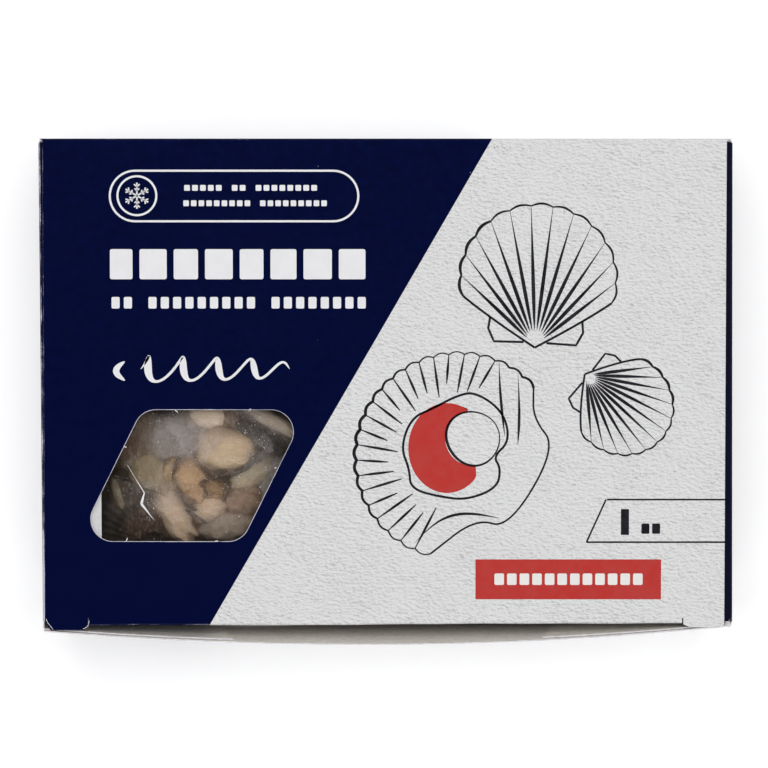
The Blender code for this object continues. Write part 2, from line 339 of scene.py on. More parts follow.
def split_field(tree, parts, navy, paper):
    """Navy left of the field's slanting line and stucco paper right of it."""
    slope = (FIELD_HIGH[0] - FIELD_LOW[0]) / (FIELD_HIGH[1] - FIELD_LOW[1])
    clamped = add_node(tree, "ShaderNodeClamp", {
        "Value": parts["Y"], "Min": FIELD_LOW[1], "Max": FIELD_HIGH[1]}).outputs[0]
    line = times(tree, minus(tree, clamped, FIELD_LOW[1]), slope)
    across = minus(tree, minus(tree, parts["X"], FIELD_LOW[0]), line)
    return mix(tree, ramp(tree, across, -FIELD_BLUR, FIELD_BLUR), navy, paper)


def printed_board(name, ground, navy_ink=NAVY):
    """Printed, varnished board. ground is "split" (navy and stucco), "navy" or "white"."""
    made, tree = new_material(name, Roughness=0.42, Specular_IOR_Level=0.07)
    place = object_place(tree)
    parts = add_node(tree, "ShaderNodeSeparateXYZ", {0: place}).outputs
    mottle = ramp(tree, noise(tree, place, 320, detail=3.0), 0.3, 0.7)
    navy = mix(tree, mottle, navy_ink, fade(navy_ink, 1.35))
    # Painted light: the navy grows lighter towards the front of the carton.
    down = ramp(tree, parts["Y"], float(HIGH[1]), float(LOW[1]))
    navy = mix(tree, down, navy, fade(navy_ink, (1.5, 1.25, 1.22)))
    down_walls = minus(tree, parts["Y"], parts["Z"])
    unrolled = add_node(tree, "ShaderNodeCombineXYZ", {"X": parts["X"], "Y": down_walls})
    paper = use_group(tree, stucco, {"Vector": unrolled.outputs[0]})["Color"]
    if ground == "split":
        colour = split_field(tree, parts, navy, paper)
    elif ground == "navy":
        colour = navy
    else:
        colour = mix(tree, mottle, (0.62, 0.62, 0.62, 1), (0.56, 0.56, 0.57, 1))
    specks = use_group(tree, dust, {"Vector": place})["Mask"]
    colour = mix(tree, times(tree, specks, 0.55), colour, (0.55, 0.55, 0.58, 1))
    # Bare board shows where the print is worn, and along the lid's front fold it is also a painted
    # highlight.
    worn_and_highlit = use_group(tree, wear_and_highlight, {"Vector": place, "Amount": painted(tree, "wear_and_highlight")["Fac"]})["Mask"]
    bare = mix(tree, noise(tree, place, 900, detail=2.0), FIBRE_WHITE, FIBRE_GREY)
    finish = use_group(tree, coat, {"Vector": place, "Roughness": 0.32})
    relief = minus(tree, finish["Height"], times(tree, worn_and_highlit, 1.2))
    shade(tree, Base_Color=mix(tree, worn_and_highlit, colour, bare), Normal=bump(tree, relief, 0.35, 0.00006),
          Roughness=plus(tree, finish["Roughness"], times(tree, worn_and_highlit, 0.35)))
    return made


def raw_board(name, light, dark):
    """Unprinted board: felted fibres lying mostly one way, with darker flecks of recycled pulp."""
    made, tree = new_material(name, Roughness=0.85, Specular_IOR_Level=0.25)
    place = object_place(tree, (0.35, 1.0, 1.0))
    fibres = noise(tree, place, 1600, detail=4.0, distortion=0.8, roughness=0.6)
    clouds = noise(tree, place, 140, detail=3.0)
    colour = mix(tree, ramp(tree, fibres, 0.3, 0.7), light, dark)
    colour = mix(tree, times(tree, clouds, 0.35), colour, dark)
    flecks = use_group(tree, dust, {"Vector": object_place(tree), "Scale": 420.0, "Share": 0.16})["Mask"]
    colour = mix(tree, times(tree, flecks, 0.5), colour, (0.10, 0.08, 0.06, 1))
    shade(tree, Base_Color=colour, Normal=bump(tree, fibres, 0.5, 0.00008))
    return made


lid_print = printed_board("print_split_field", "split")
left_print = printed_board("print_navy", "navy")
right_print_shaded = printed_board("print_navy_painted_shade", "navy", SHADED_NAVY)
flap_print = printed_board("coated_white", "white")
board_back = raw_board("board_back", (0.88, 0.85, 0.79, 1), (0.66, 0.62, 0.56, 1))
board_edge = raw_board("board_cut_edge", (0.86, 0.84, 0.86, 1), (0.62, 0.60, 0.64, 1))


def grid_quads(rows, columns, start):
    """Corner numbers of the quads between the points of a grid, (rows - 1, columns - 1, 4)."""
    index = np.arange(rows * columns).reshape(rows, columns) + start
    return np.stack([index[:-1, :-1], index[:-1, 1:], index[1:, 1:], index[1:, :-1]], axis=2)


def weld(mesh, gap, thinnest=0.0, outwards=True):
    """Joins points closer than gap, drops faces thinner than thinnest and turns the rest outwards."""
    joined = bmesh.new()
    joined.from_mesh(mesh)
    bmesh.ops.remove_doubles(joined, verts=joined.verts, dist=gap)
    loose = [point for point in joined.verts if not point.link_faces]
    bmesh.ops.delete(joined, geom=loose, context="VERTS")
    if thinnest:
        bmesh.ops.dissolve_degenerate(joined, edges=joined.edges, dist=thinnest)
    if outwards:
        bmesh.ops.recalc_face_normals(joined, faces=joined.faces)
    joined.to_mesh(mesh)
    joined.free()


def board_mesh(name, parts, outer):
    """One mesh of board from parts, each a dict of points (rows, columns, xyz), wear (rows, columns),
    material index and cells to keep. Points that coincide become one, so that parts join."""
    points, wears, faces, slots = [], [], [], []
    start = 0
    for part in parts:
        rows, columns = part["points"].shape[:2]
        keep = part.get("keep", np.ones((rows - 1, columns - 1), bool))
        faces.append(grid_quads(rows, columns, start)[keep])
        slots.append(np.full(int(keep.sum()), part.get("material", 0)))
        points.append(part["points"].reshape(-1, 3))
        wears.append(np.broadcast_to(part.get("wear_and_highlight", 0.0), (rows, columns)).reshape(-1))
        start += rows * columns
    points, faces = np.concatenate(points), np.concatenate(faces)
    mesh = bpy.data.meshes.new(name)
    mesh.vertices.add(len(points))
    mesh.vertices.foreach_set("co", points.astype(np.float32).ravel())
    mesh.loops.add(faces.size)
    mesh.loops.foreach_set("vertex_index", faces.astype(np.int32).ravel())
    mesh.polygons.add(len(faces))
    mesh.polygons.foreach_set("loop_start", np.arange(0, faces.size, 4, dtype=np.int32))
    mesh.polygons.foreach_set("material_index", np.concatenate(slots).astype(np.int32))
    mesh.update(calc_edges=True)
    attribute = mesh.attributes.new("wear_and_highlight", "FLOAT", "POINT")
    attribute.data.foreach_set("value", np.concatenate(wears).astype(np.float32))
    weld(mesh, 0.000004, outwards=False)
    mesh.shade_smooth()
    board = add_object(name, mesh)
    for made in outer + [board_back] * len(outer) + [board_edge] * len(outer):
        mesh.materials.append(made)
    thicken = board.modifiers.new("board", "SOLIDIFY")
    thicken.thickness = BOARD
    thicken.offset = -1.0
    thicken.material_offset = len(outer)
    thicken.material_offset_rim = 2 * len(outer)
    soften = board.modifiers.new("cut edges", "BEVEL")
    soften.width = 0.00007
    soften.segments = 2
    soften.limit_method = "ANGLE"
    soften.angle_limit = math.radians(55)
    even = board.modifiers.new("even shading", "WEIGHTED_NORMAL")
    even.keep_sharp = True
    return board


# --- Main strip: tuck flap, lid, back wall, base and front wall -----------------------------------
# One strip of board folded round the contents: the lid hinges on the back wall and is tucked in
# behind the front wall, which bows out at its rim. Two hook cuts leave flat shoulders at the corners.

BOARD = 0.00047
INK = 0.00002  # how far ink stands over the board
FOLD = 0.0009  # outer radius of the lid's folds
BASE_FOLD = 0.0007
LID_Z = TOP - 1.5 * INK  # the label carries a second ink
BACK_Y = float(HIGH[1]) - INK
BASE_Z = INK
FRONT_BASE_Y = float(LOW[1]) + 0.0060
LID_LEFT, LID_RIGHT = float(LOW[0]) + 0.00155, float(HIGH[0]) - 0.00295
WALL_LEFT_BACK, WALL_LEFT_FRONT = float(LOW[0]), float(LOW[0]) + 0.0007
WALL_RIGHT_BACK, WALL_RIGHT_FRONT = float(HIGH[0]) - 0.0008, float(HIGH[0])
CREASE_LEFT_Y, CREASE_RIGHT_Y = -0.0815, -0.0803
TUCK_LEFT, TUCK_RIGHT = -0.1032, 0.1026
SLIT = 0.0004
PLATE_END = -0.0785
PLATE_START = BACK_Y - FOLD
SHOULDER_LEFT_Y, SHOULDER_RIGHT_Y = -0.0828, -0.0818
TUCK_DEPTH, TUCK_LEAN = 0.0165, 0.0006
RIM_Z = 0.0597
RIM_LEFT_Y, RIM_RIGHT_Y = -0.0834, -0.0814
RIM_BOW, BOW_CENTRE, BOW_POWER = 0.0056, 0.005, 1.6
WINDOW_CENTRE = np.array([-0.0674, -0.0290])
WINDOW_SIZE = (0.0569, 0.0456)
WINDOW_SHEAR = 0.0227
WINDOW_RADIUS = 0.0077


def smooth_step(x, low, high):
    """0 up to low, 1 from high on, and a smooth rise between them; it falls where low is above high."""
    share = np.clip((x - low) / (high - low), 0, 1)
    return share * share * (3 - 2 * share)


def grid_points(x, y, z):
    """Points of a grid, from three arrays that broadcast to its shape."""
    return np.stack(np.broadcast_arrays(x, y, z), axis=-1)


def bell(value, middle, width):
    """A bell curve, 1 at its middle."""
    return np.exp(-(((value - middle) / width) ** 2))


def front_wall_y(x, rise):
    """The front wall's outer face at height share rise: straight at the base, and at the rim a
    parabola that stands out furthest between its two corners."""
    across = (x - WALL_LEFT_FRONT) / (WALL_RIGHT_FRONT - WALL_LEFT_FRONT)
    half = np.where(x < BOW_CENTRE, BOW_CENTRE - WALL_LEFT_FRONT, WALL_RIGHT_FRONT - BOW_CENTRE)
    bow = RIM_BOW * (1 - ((x - BOW_CENTRE) / half) ** 2)
    rim = RIM_LEFT_Y + (RIM_RIGHT_Y - RIM_LEFT_Y) * across - bow
    return FRONT_BASE_Y + (rim - FRONT_BASE_Y) * np.clip(rise, 0, 1) ** BOW_POWER


def front_rise(z):
    """A height as a share of the front wall's, from its fold to its rim."""
    return (z - BASE_Z - BASE_FOLD) / (RIM_Z - BASE_Z - BASE_FOLD)


def window_radius_along(directions):
    """Distance from the window's centre to its rounded outline along each unit direction. A rounded
    parallelogram is a smaller one grown by the corner radius; the distance is found by bisection."""
    lean = WINDOW_SHEAR / WINDOW_SIZE[1]
    slant = 1 / math.hypot(1, lean)
    half_x, half_y = WINDOW_SIZE[0] / 2 * slant - WINDOW_RADIUS, WINDOW_SIZE[1] / 2 - WINDOW_RADIUS
    corners = []
    for sx, sy in ((-1, -1), (1, -1), (1, 1), (-1, 1)):
        y = sy * half_y
        corners.append(((sx * half_x) / slant + lean * y, y))
    corners = np.array(corners)

    def outside(points):
        nearest = np.full(len(points), np.inf)
        inside = np.ones(len(points), bool)
        for a, b in zip(corners, np.roll(corners, -1, axis=0)):
            along = b - a
            share = np.clip(((points - a) @ along) / (along @ along), 0, 1)
            nearest = np.minimum(nearest, np.linalg.norm(points - a - share[:, None] * along, axis=1))
            inside &= along[0] * (points[:, 1] - a[1]) - along[1] * (points[:, 0] - a[0]) >= 0
        return np.where(inside, 0.0, nearest) > WINDOW_RADIUS

    low, high = np.zeros(len(directions)), np.full(len(directions), WINDOW_SIZE[0] * 1.4)
    for _ in range(40):
        middle = (low + high) / 2
        out = outside(directions * middle[:, None])
        low, high = np.where(out, low, middle), np.where(out, middle, high)
    return low


# The lid's plate is a net of rays from the window's outline to its border. Along the border its points
# are those of the hinge's columns and of the crease's, which leave the two hook cuts free.
hinge_x = np.linspace(LID_LEFT, LID_RIGHT, 237)
crease_x = np.concatenate([
    np.linspace(LID_LEFT, TUCK_LEFT - SLIT, 16),
    np.linspace(TUCK_LEFT, TUCK_RIGHT, 200),
    np.linspace(TUCK_RIGHT + SLIT, LID_RIGHT, 20),
])
side_y = np.linspace(PLATE_END, PLATE_START, 166)
border = np.concatenate([
    np.column_stack([crease_x, np.full(len(crease_x), PLATE_END)])[:-1],
    np.column_stack([np.full(len(side_y), LID_RIGHT), side_y])[:-1],
    np.column_stack([hinge_x[::-1], np.full(len(hinge_x), PLATE_START)])[:-1],
    np.column_stack([np.full(len(side_y), LID_LEFT), side_y[::-1]]),
])
rays = border - WINDOW_CENTRE
lengths = np.linalg.norm(rays, axis=1)
inner = WINDOW_CENTRE + rays / lengths[:, None] * window_radius_along(rays / lengths[:, None])[:, None]
RIM_STEPS = np.array([0, 0.00016, 0.00032, 0.00050, 0.0010])
RAY_SHARES = np.array([0.03, 0.12, 0.25, 0.42, 0.60, 0.78, 0.90, 0.96, 0.985, 1.0])
outward = border - inner
near_rim = inner + outward / np.linalg.norm(outward, axis=1, keepdims=True) * RIM_STEPS[:, None, None]
plate_xy = np.concatenate([near_rim, near_rim[-1] + (border - near_rim[-1]) * RAY_SHARES[:, None, None]])
plate = grid_points(plate_xy[..., 0], plate_xy[..., 1], LID_Z)[::-1]
rim_distance = np.linalg.norm(plate[..., :2] - inner, axis=2)
side_distance = np.minimum(plate[..., 0] - LID_LEFT, LID_RIGHT - plate[..., 0])
ragged = 0.14 * np.sin(plate[..., 0] * 900) * np.sin(plate[..., 1] * 700)
window_wear = (0.86 + ragged) * (1 - smooth_step(rim_distance, 0.00014, 0.00036))
plate_wear = window_wear + 0.50 * np.exp(-side_distance / 0.00035)

turn = np.linspace(0, math.pi / 2, 9)
# Hinge, back wall, base and front wall, from the lid's plate downwards and round.
profile = [(BACK_Y - FOLD + FOLD * math.sin(a), LID_Z - FOLD + FOLD * math.cos(a), a / turn[-1])
           for a in turn]
profile += [(BACK_Y, z, 1.0) for z in np.linspace(LID_Z - FOLD, BASE_Z + BASE_FOLD, 14)[1:]]
base_turn = [(1 - math.cos(a), BASE_Z + BASE_FOLD * (1 - math.sin(a))) for a in turn[1:]]
profile += [(BACK_Y - BASE_FOLD * step, z, 1.0) for step, z in base_turn]
base_y = np.linspace(BACK_Y - BASE_FOLD, FRONT_BASE_Y + BASE_FOLD, 16)
profile += [(y, BASE_Z, 1.0) for y in base_y[1:]]
profile += [(FRONT_BASE_Y + BASE_FOLD * step, z, 1.0) for step, z in base_turn[-2::-1]]
profile.append((FRONT_BASE_Y, BASE_Z + BASE_FOLD, 1.0))
profile = np.array(profile)
share_x = (hinge_x - LID_LEFT) / (LID_RIGHT - LID_LEFT)
strip_y, strip_z, widen = profile[:, 0], profile[:, 1], profile[:, 2]
depth_share = (strip_y - FRONT_BASE_Y) / (BACK_Y - FRONT_BASE_Y)
EDGE_INSET = 0.0004
inset = EDGE_INSET + (BASE_FOLD - EDGE_INSET) * (strip_z < BASE_FOLD)
left_edge = WALL_LEFT_FRONT + (WALL_LEFT_BACK - WALL_LEFT_FRONT) * depth_share + inset
right_edge = WALL_RIGHT_FRONT + (WALL_RIGHT_BACK - WALL_RIGHT_FRONT) * depth_share - inset
left_edge = LID_LEFT + (left_edge - LID_LEFT) * widen
right_edge = LID_RIGHT + (right_edge - LID_RIGHT) * widen
strip_x = left_edge[:, None] + (right_edge - left_edge)[:, None] * share_x
strip = grid_points(strip_x, strip_y[:, None], strip_z[:, None])
hinge_wear = 0.34 * bell(strip_z, LID_Z - FOLD * 0.35, 0.0005) * (strip_y > 0)
at_wall = (strip_y > BACK_Y - 0.001) | (strip_y < FRONT_BASE_Y + 0.001)
foot_wear = 0.50 * bell(strip_z, BASE_FOLD * 0.3, 0.0004) * at_wall
strip_wear = (hinge_wear + foot_wear)[:, None]
rises = np.linspace(BASE_Z + BASE_FOLD, RIM_Z, 26)[:, None]
front_x = strip_x[-1][None, :]
front = grid_points(front_x, front_wall_y(front_x, front_rise(rises)), rises)
rim_wear = 0.55 * np.exp(-(RIM_Z - rises) / 0.0004)

# Crease and tuck flap in the middle, flat shoulders at both ends.
crease_y = np.interp(crease_x, [LID_LEFT, LID_RIGHT], [CREASE_LEFT_Y, CREASE_RIGHT_Y])
crease_y = crease_y + 0.00010 * np.sin(crease_x * 55) + 0.00005 * np.sin(crease_x * 210 + 1)
tucked = (crease_x > TUCK_LEFT - SLIT / 2) & (crease_x < TUCK_RIGHT + SLIT / 2)
LEFT_CHAMFER, LEFT_CHAMFER_RUN, RIGHT_CHAMFER, RIGHT_CHAMFER_RUN = 0.0030, 0.0020, 0.0007, 0.0010
HOOK_DEPTH, HOOK_WIDTH = 0.0010, 0.0016
chamfer = LEFT_CHAMFER * smooth_step(-crease_x, -LID_LEFT - LEFT_CHAMFER_RUN, -LID_LEFT)
chamfer = chamfer + RIGHT_CHAMFER * smooth_step(crease_x, LID_RIGHT - RIGHT_CHAMFER_RUN, LID_RIGHT)
shoulder_y = np.where(crease_x < 0, SHOULDER_LEFT_Y, SHOULDER_RIGHT_Y) + chamfer
from_slit = np.minimum(abs(crease_x - TUCK_LEFT + SLIT), abs(crease_x - TUCK_RIGHT - SLIT))
edge_y = shoulder_y + HOOK_DEPTH * bell(from_slit, 0, HOOK_WIDTH)
tail_rows = []
LEAD_ROWS, DROP_ROWS = 4, 10
flat_share = np.linspace(0, 1, LEAD_ROWS + len(turn) - 1 + DROP_ROWS)
for i, share in enumerate(flat_share):
    if i < LEAD_ROWS:
        y = PLATE_END + (crease_y + FOLD - PLATE_END) * i / (LEAD_ROWS - 1)
        z = LID_Z
    elif i < LEAD_ROWS + len(turn) - 1:
        a = turn[i - LEAD_ROWS + 1]
        y = crease_y + FOLD - FOLD * math.sin(a)
        z = LID_Z - FOLD + FOLD * math.cos(a)
    else:
        drop = (i - LEAD_ROWS - len(turn) + 2) / DROP_ROWS
        y = crease_y + TUCK_LEAN * drop
        z = LID_Z - FOLD - TUCK_DEPTH * drop
    flat_y = PLATE_END + (edge_y - PLATE_END) * share
    tail_rows.append(np.column_stack([crease_x, np.where(tucked, y, flat_y), np.where(tucked, z, LID_Z)]))
tail = np.array(tail_rows)
rows_from_bend = np.abs(np.arange(len(tail)) - LEAD_ROWS - 2)[:, None]
scuffs = 0.16 * np.clip(np.sin(crease_x * 71 + 2) * np.sin(crease_x * 23), 0, 1)
# Along the tucked fold the print is scuffed and rubbed, and the lightening is also a painted highlight.
bend_wear_and_highlight = (0.47 + scuffs) * bell(rows_from_bend, 0, 1.6)
tail_wear_and_highlight = np.where(tucked, bend_wear_and_highlight, 0.50 * np.exp(-(tail[..., 1] - edge_y) / 0.00025))
slits = (crease_x[1:] - crease_x[:-1] < SLIT * 1.01) & (tucked[1:] != tucked[:-1])
keep_tail = np.ones((len(tail) - 1, len(crease_x) - 1), bool)
keep_tail[:, slits] = False
main_strip = board_mesh("carton_main_strip", [
    {"points": plate, "wear_and_highlight": plate_wear},
    {"points": strip, "wear_and_highlight": strip_wear},
    {"points": front, "wear_and_highlight": rim_wear},
    {"points": tail[::-1], "wear_and_highlight": tail_wear_and_highlight[::-1], "keep": keep_tail[::-1]},
], [lid_print])
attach(main_strip, "root")
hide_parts("carton")

# --- Side walls with their dust flaps and glued flaps ---------------------------------------------
# Each side wall folds up from the base. Its dust flap is folded in under the lid, and the flaps at its
# ends turn the corners and are glued to the inside of the front wall and of the back wall.

FLAP_Z = 0.0592
FLAP_REACH = 0.0207
FLAP_TAPER = 0.010
FLAP_FRONT_Y, FLAP_BACK_Y = -0.0798, 0.0860
CORNER = 0.0008
CLEAR = 0.00012
GLUE_REACH_LOW, GLUE_REACH_TOP = 0.052, 0.066
GLUE_COLUMNS = 40
BACK_REACH = 0.014
HOLLOW = 0.0005  # the walls' middles stand in by this much


def wall_ends(side):
    """A side wall's x places at the front and at the back."""
    return (WALL_LEFT_FRONT, WALL_LEFT_BACK) if side < 0 else (WALL_RIGHT_FRONT, WALL_RIGHT_BACK)


def side_wall_x(side, y, z):
    """A side wall's outer face: straight between its corners, standing in a little in its middle."""
    ends = wall_ends(side)
    along = np.clip((y - FRONT_BASE_Y) / (BACK_Y - FRONT_BASE_Y), 0, 1)
    middle = np.sin(math.pi * along) * np.sin(math.pi * np.clip(z / FLAP_Z, 0, 1))
    return ends[0] + (ends[1] - ends[0]) * along - side * HOLLOW * middle


def side_sheet(name, side, outer, crease_width, wear_along):
    """A side wall as a path in plan, carried up: glued flap inside the front wall, corner, wall,
    corner, return inside the back wall. The fold to the base and the dust flap join its wall."""
    ends = wall_ends(side)
    front_inner = front_wall_y(np.array([ends[0]]), 1.0)[0] + BOARD + CLEAR
    back_inner = BACK_Y - BOARD - CLEAR
    wall_y = np.unique(np.concatenate([
        np.linspace(front_inner + CORNER, back_inner - CORNER, 120), [FLAP_FRONT_Y, FLAP_BACK_Y]]))
    quarter = np.linspace(0, math.pi / 2, 6)[1:-1]
    levels = np.concatenate([
        np.linspace(BASE_Z + BASE_FOLD, 0.050, 16), np.linspace(0.052, FLAP_Z - FOLD, 8)])
    rows = []
    for z in levels:
        share = (z - levels[0]) / (levels[-1] - levels[0])
        reach = GLUE_REACH_LOW + (GLUE_REACH_TOP - GLUE_REACH_LOW) * share
        flap_x = ends[0] - side * np.linspace(reach, CORNER, GLUE_COLUMNS)
        flap_y = front_wall_y(flap_x, front_rise(z)) + BOARD + CLEAR
        turn_y = flap_y[-1] + CORNER - CORNER * np.cos(quarter)
        turn_x = ends[0] - side * CORNER * (1 - np.sin(quarter))
        straight = np.where(wall_y == wall_y[0], flap_y[-1] + CORNER, wall_y)
        back_y = back_inner - CORNER * (1 - np.sin(quarter))
        back_x = ends[1] - side * CORNER * (1 - np.cos(quarter))
        return_x = ends[1] - side * np.linspace(CORNER, BACK_REACH, 12)
        x = np.concatenate([flap_x, turn_x, side_wall_x(side, wall_y, z), back_x, return_x])
        y = np.concatenate([flap_y, turn_y, straight, back_y, np.full(len(return_x), back_inner)])
        rows.append(np.column_stack([x, y, np.full(len(x), z)]))
    wall = np.array(rows)
    rim_wear = 0.5 * np.exp(-(levels[-1] - levels)[:, None] / 0.0003) * wear_along(wall[..., 1])
    first = GLUE_COLUMNS + len(quarter)
    straight_at = slice(first, first + len(wall_y))
    foot = []
    for a in turn:
        x = side_wall_x(side, wall_y, BASE_Z) - side * BASE_FOLD * (1 - math.cos(a))
        z = BASE_Z + BASE_FOLD * (1 - math.sin(a))
        foot.append(grid_points(x, wall[0, straight_at, 1], z))
    foot[0][:, 0] = wall[0, straight_at, 0]
    foot = np.array(foot)[::-1]
    foot_wear = 0.42 * bell(np.arange(len(foot)), 3.0, 2)[:, None] + 0 * foot[..., 0]
    flap_at = (wall_y > FLAP_FRONT_Y - 1e-9) & (wall_y < FLAP_BACK_Y + 1e-9)
    y = wall_y[flap_at]
    edge_x = wall[-1, straight_at, 0][flap_at]
    crease = [grid_points(edge_x - side * FOLD * (1 - math.cos(a)), y, FLAP_Z - FOLD + FOLD * math.sin(a))
              for a in turn]
    inward = np.array([FOLD, 0.0016, 0.0026, 0.0036, 0.0050])
    crease += [grid_points(edge_x - side * step, y, FLAP_Z) for step in inward[1:]]
    crease = np.array(crease)
    bend_wear_and_highlight = bell(np.arange(len(crease)), 5.0, crease_width)[:, None] * wear_along(y)[None, :]
    middle = (FLAP_FRONT_Y + FLAP_BACK_Y) / 2
    half = (FLAP_BACK_Y - FLAP_FRONT_Y) / 2
    flap = []
    for step in np.linspace(inward[-1], FLAP_REACH, 8):
        narrow = 1 - FLAP_TAPER * (step - inward[-1]) / (FLAP_REACH - inward[-1]) / half
        flap.append(grid_points(edge_x - side * step, middle + (y - middle) * narrow, FLAP_Z))
    flap = np.array(flap)
    parts = [(foot, foot_wear, 0), (wall, rim_wear, 0), (crease, bend_wear_and_highlight, 0), (flap, 0 * flap[..., 0], 1)]
    along = -1 if side < 0 else 1
    return board_mesh(name, [
        {"points": points[:, ::along], "wear_and_highlight": wear_and_highlight[:, ::along], "material": material}
        for points, wear_and_highlight, material in parts], [outer, flap_print])


def left_wear(y):
    """Along the left crease the print is rubbed thin, more at the hinge end, and gone at the front."""
    hinge_end, front_end = smooth_step(y, 0.050, 0.068), smooth_step(-y, 0.040, 0.066)
    return 0.53 + 0.07 * hinge_end + 0.48 * front_end + 0.04 * np.sin(y * 300)


def right_wear(y):
    """Along the right crease the print is only lightly rubbed, and more at its front end."""
    return 0.22 + 0.06 * np.sin(y * 170) + 0.30 * smooth_step(-y, 0.070, 0.080)


for name, side, outer, crease_width, wear_along in (
        ("carton_left_side", -1, left_print, 3.4, left_wear),
        ("carton_right_side", 1, right_print_shaded, 1.6, right_wear)):
    sheet = side_sheet(name, side, outer, crease_width, wear_along)
    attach(sheet, "root")
    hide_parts("carton")

# --- Print on the lid -----------------------------------------------------------------------------
# White, black and red ink lies on the lid as a very thin film: a framed notice with a frost sign, rows
# of plain blocks for words, a brush wave, two fan shells, an opened shell, a frame and a red label.


def ink_material(name, colour):
    """Ink: nearly even, a little mottled, and thinner in tiny pinholes."""
    made, tree = new_material(name, Specular_IOR_Level=0.14)
    place = object_place(tree)
    thin = ramp(tree, noise(tree, place, 2200, detail=3.0), 0.62, 0.80)
    uneven = ramp(tree, noise(tree, place, 260, detail=2.0), 0.3, 0.7)
    deep = mix(tree, times(tree, uneven, 0.05), (*colour, 1), (0.25, 0.25, 0.27, 1))
    finish = use_group(tree, coat, {"Vector": place, "Roughness": 0.42})
    shade(tree, Base_Color=mix(tree, times(tree, thin, 0.08), deep, (0.35, 0.35, 0.37, 1)),
          Roughness=finish["Roughness"], Normal=bump(tree, finish["Height"], 0.3, 0.00005))
    return made


white_ink = ink_material("white_ink", (0.78, 0.78, 0.80))
black_ink = ink_material("black_ink", (0.0075, 0.0070, 0.0110))
red_ink = ink_material("red_ink", (0.47, 0.036, 0.030))
pale_ink = ink_material("pale_ink", (0.80, 0.78, 0.76))


def stroke(path, half_width, closed=False):
    """The left and right edges of a ribbon along a path (n, xy): each point is moved square to the
    path by the half width, one number or one for each point."""
    path = np.asarray(path, float)
    if closed:
        way = np.roll(path, -1, axis=0) - np.roll(path, 1, axis=0)
    else:
        way = np.gradient(path, axis=0)
    way /= np.linalg.norm(way, axis=1, keepdims=True) + 1e-12
    across = np.stack([-way[:, 1], way[:, 0]], axis=1) * np.broadcast_to(half_width, len(path))[:, None]
    edges = np.stack([path + across, path - across], axis=1)
    return np.concatenate([edges, edges[:1]]) if closed else edges


def bar(x, y, width, height, radius=0.0, lean=0.0):
    """A bar round x, y as a ribbon: near its ends the half height follows a quarter circle."""
    steps = np.array([0.0])
    if radius:
        steps = radius * (1 - np.cos(np.linspace(0, math.pi / 2, 7)))
    middle = np.linspace(steps[-1], width - steps[-1], 3)
    along = np.unique(np.concatenate([steps, middle, width - steps]))
    end = np.minimum(np.minimum(along, width - along), radius)
    half = height / 2 - radius + np.sqrt(np.maximum(radius**2 - (radius - end) ** 2, 0))
    line = x - width / 2 + along
    top = np.column_stack([line + lean * half, y + half])
    low = np.column_stack([line - lean * half, y - half])
    return np.stack([top, low], axis=1)


def polar(reach, angle):
    """Points at a reach and an angle, as x, y."""
    return np.stack([reach * np.cos(angle), reach * np.sin(angle)], axis=-1)


def between(start, end, share):
    """Points on the straight line from start to end, one for each share."""
    return start + (end - start) * share[:, None]


def block_line(left, right, y, height, words, gap=0.28):
    """A line of plain blocks, one run for each word length in words, between two x places."""
    count = sum(words) + len(words) - 1
    pitch = (right - left) / (count - gap)
    blocks, at = [], left
    for letters in words:
        for _ in range(letters):
            blocks.append(bar(at + pitch * (1 - gap) / 2, y, pitch * (1 - gap), height, 0.12 * pitch))
            at += pitch
        at += pitch
    return blocks


def on_lid(flat, lift):
    """Points on the lid's upper face, lifted by so much."""
    return grid_points(flat[..., 0], flat[..., 1], LID_Z + lift)


def print_piece(name, ribbons, ink, place=on_lid, stands_for="carton"):
    """One mesh of closed ribbons of ink: each cross-section has an upper pair of points and a lower
    pair inside the board, joined to the next section, with both ends shut."""
    points, faces, start = [], [], 0
    for ribbon in ribbons:
        upper, lower = place(ribbon, INK), place(ribbon, -INK)
        sections = np.stack([upper[:, 0], upper[:, 1], lower[:, 1], lower[:, 0]], axis=1)
        count = len(sections)
        index = np.arange(count * 4).reshape(count, 4) + start
        for a in range(4):
            b = (a + 1) % 4
            faces.append(np.stack([index[:-1, a], index[:-1, b], index[1:, b], index[1:, a]], axis=1))
        if not np.allclose(sections[0], sections[-1]):
            faces.append(index[[0], ::-1])
            faces.append(index[[-1]])
        points.append(sections.reshape(-1, 3))
        start += count * 4
    mesh = bpy.data.meshes.new(name)
    mesh.from_pydata(np.concatenate(points).tolist(), [], np.concatenate(faces).tolist())
    weld(mesh, 1e-7)
    mesh.materials.append(ink)
    piece = add_object(name, mesh)
    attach(piece, "root")
    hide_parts(stands_for)


# The framed notice: a pill outline, a frost sign in a ring, and two short lines.
NOTICE_MIDDLE, NOTICE_WIDTH, NOTICE_HEIGHT = (-0.0526, 0.0677), 0.0857, 0.0174
NOTICE_LINE, ARM_LINE, TWIG_LINE = 0.00036, 0.00028, 0.00024
SIGN_MIDDLE, SIGN_RADIUS, SIGN_ARM = np.array([-0.0861, 0.0678]), 0.0067, 0.0045
straight = (np.linspace(-1, 1, 9) * (NOTICE_WIDTH / 2 - NOTICE_HEIGHT / 2))[:, None] * [1, 0]
half_turn = np.linspace(-math.pi / 2, math.pi / 2, 25)
right_end = polar(NOTICE_HEIGHT / 2, half_turn) + straight[-1]
low_side = straight[1:-1] - [0, NOTICE_HEIGHT / 2]
pill = np.concatenate([low_side, right_end, -low_side, -right_end]) + NOTICE_MIDDLE
full_turn = np.linspace(0, 2 * math.pi, 64, endpoint=False)
notice = [stroke(pill, NOTICE_LINE, closed=True),
          stroke(SIGN_MIDDLE + polar(SIGN_RADIUS, full_turn), NOTICE_LINE, closed=True)]
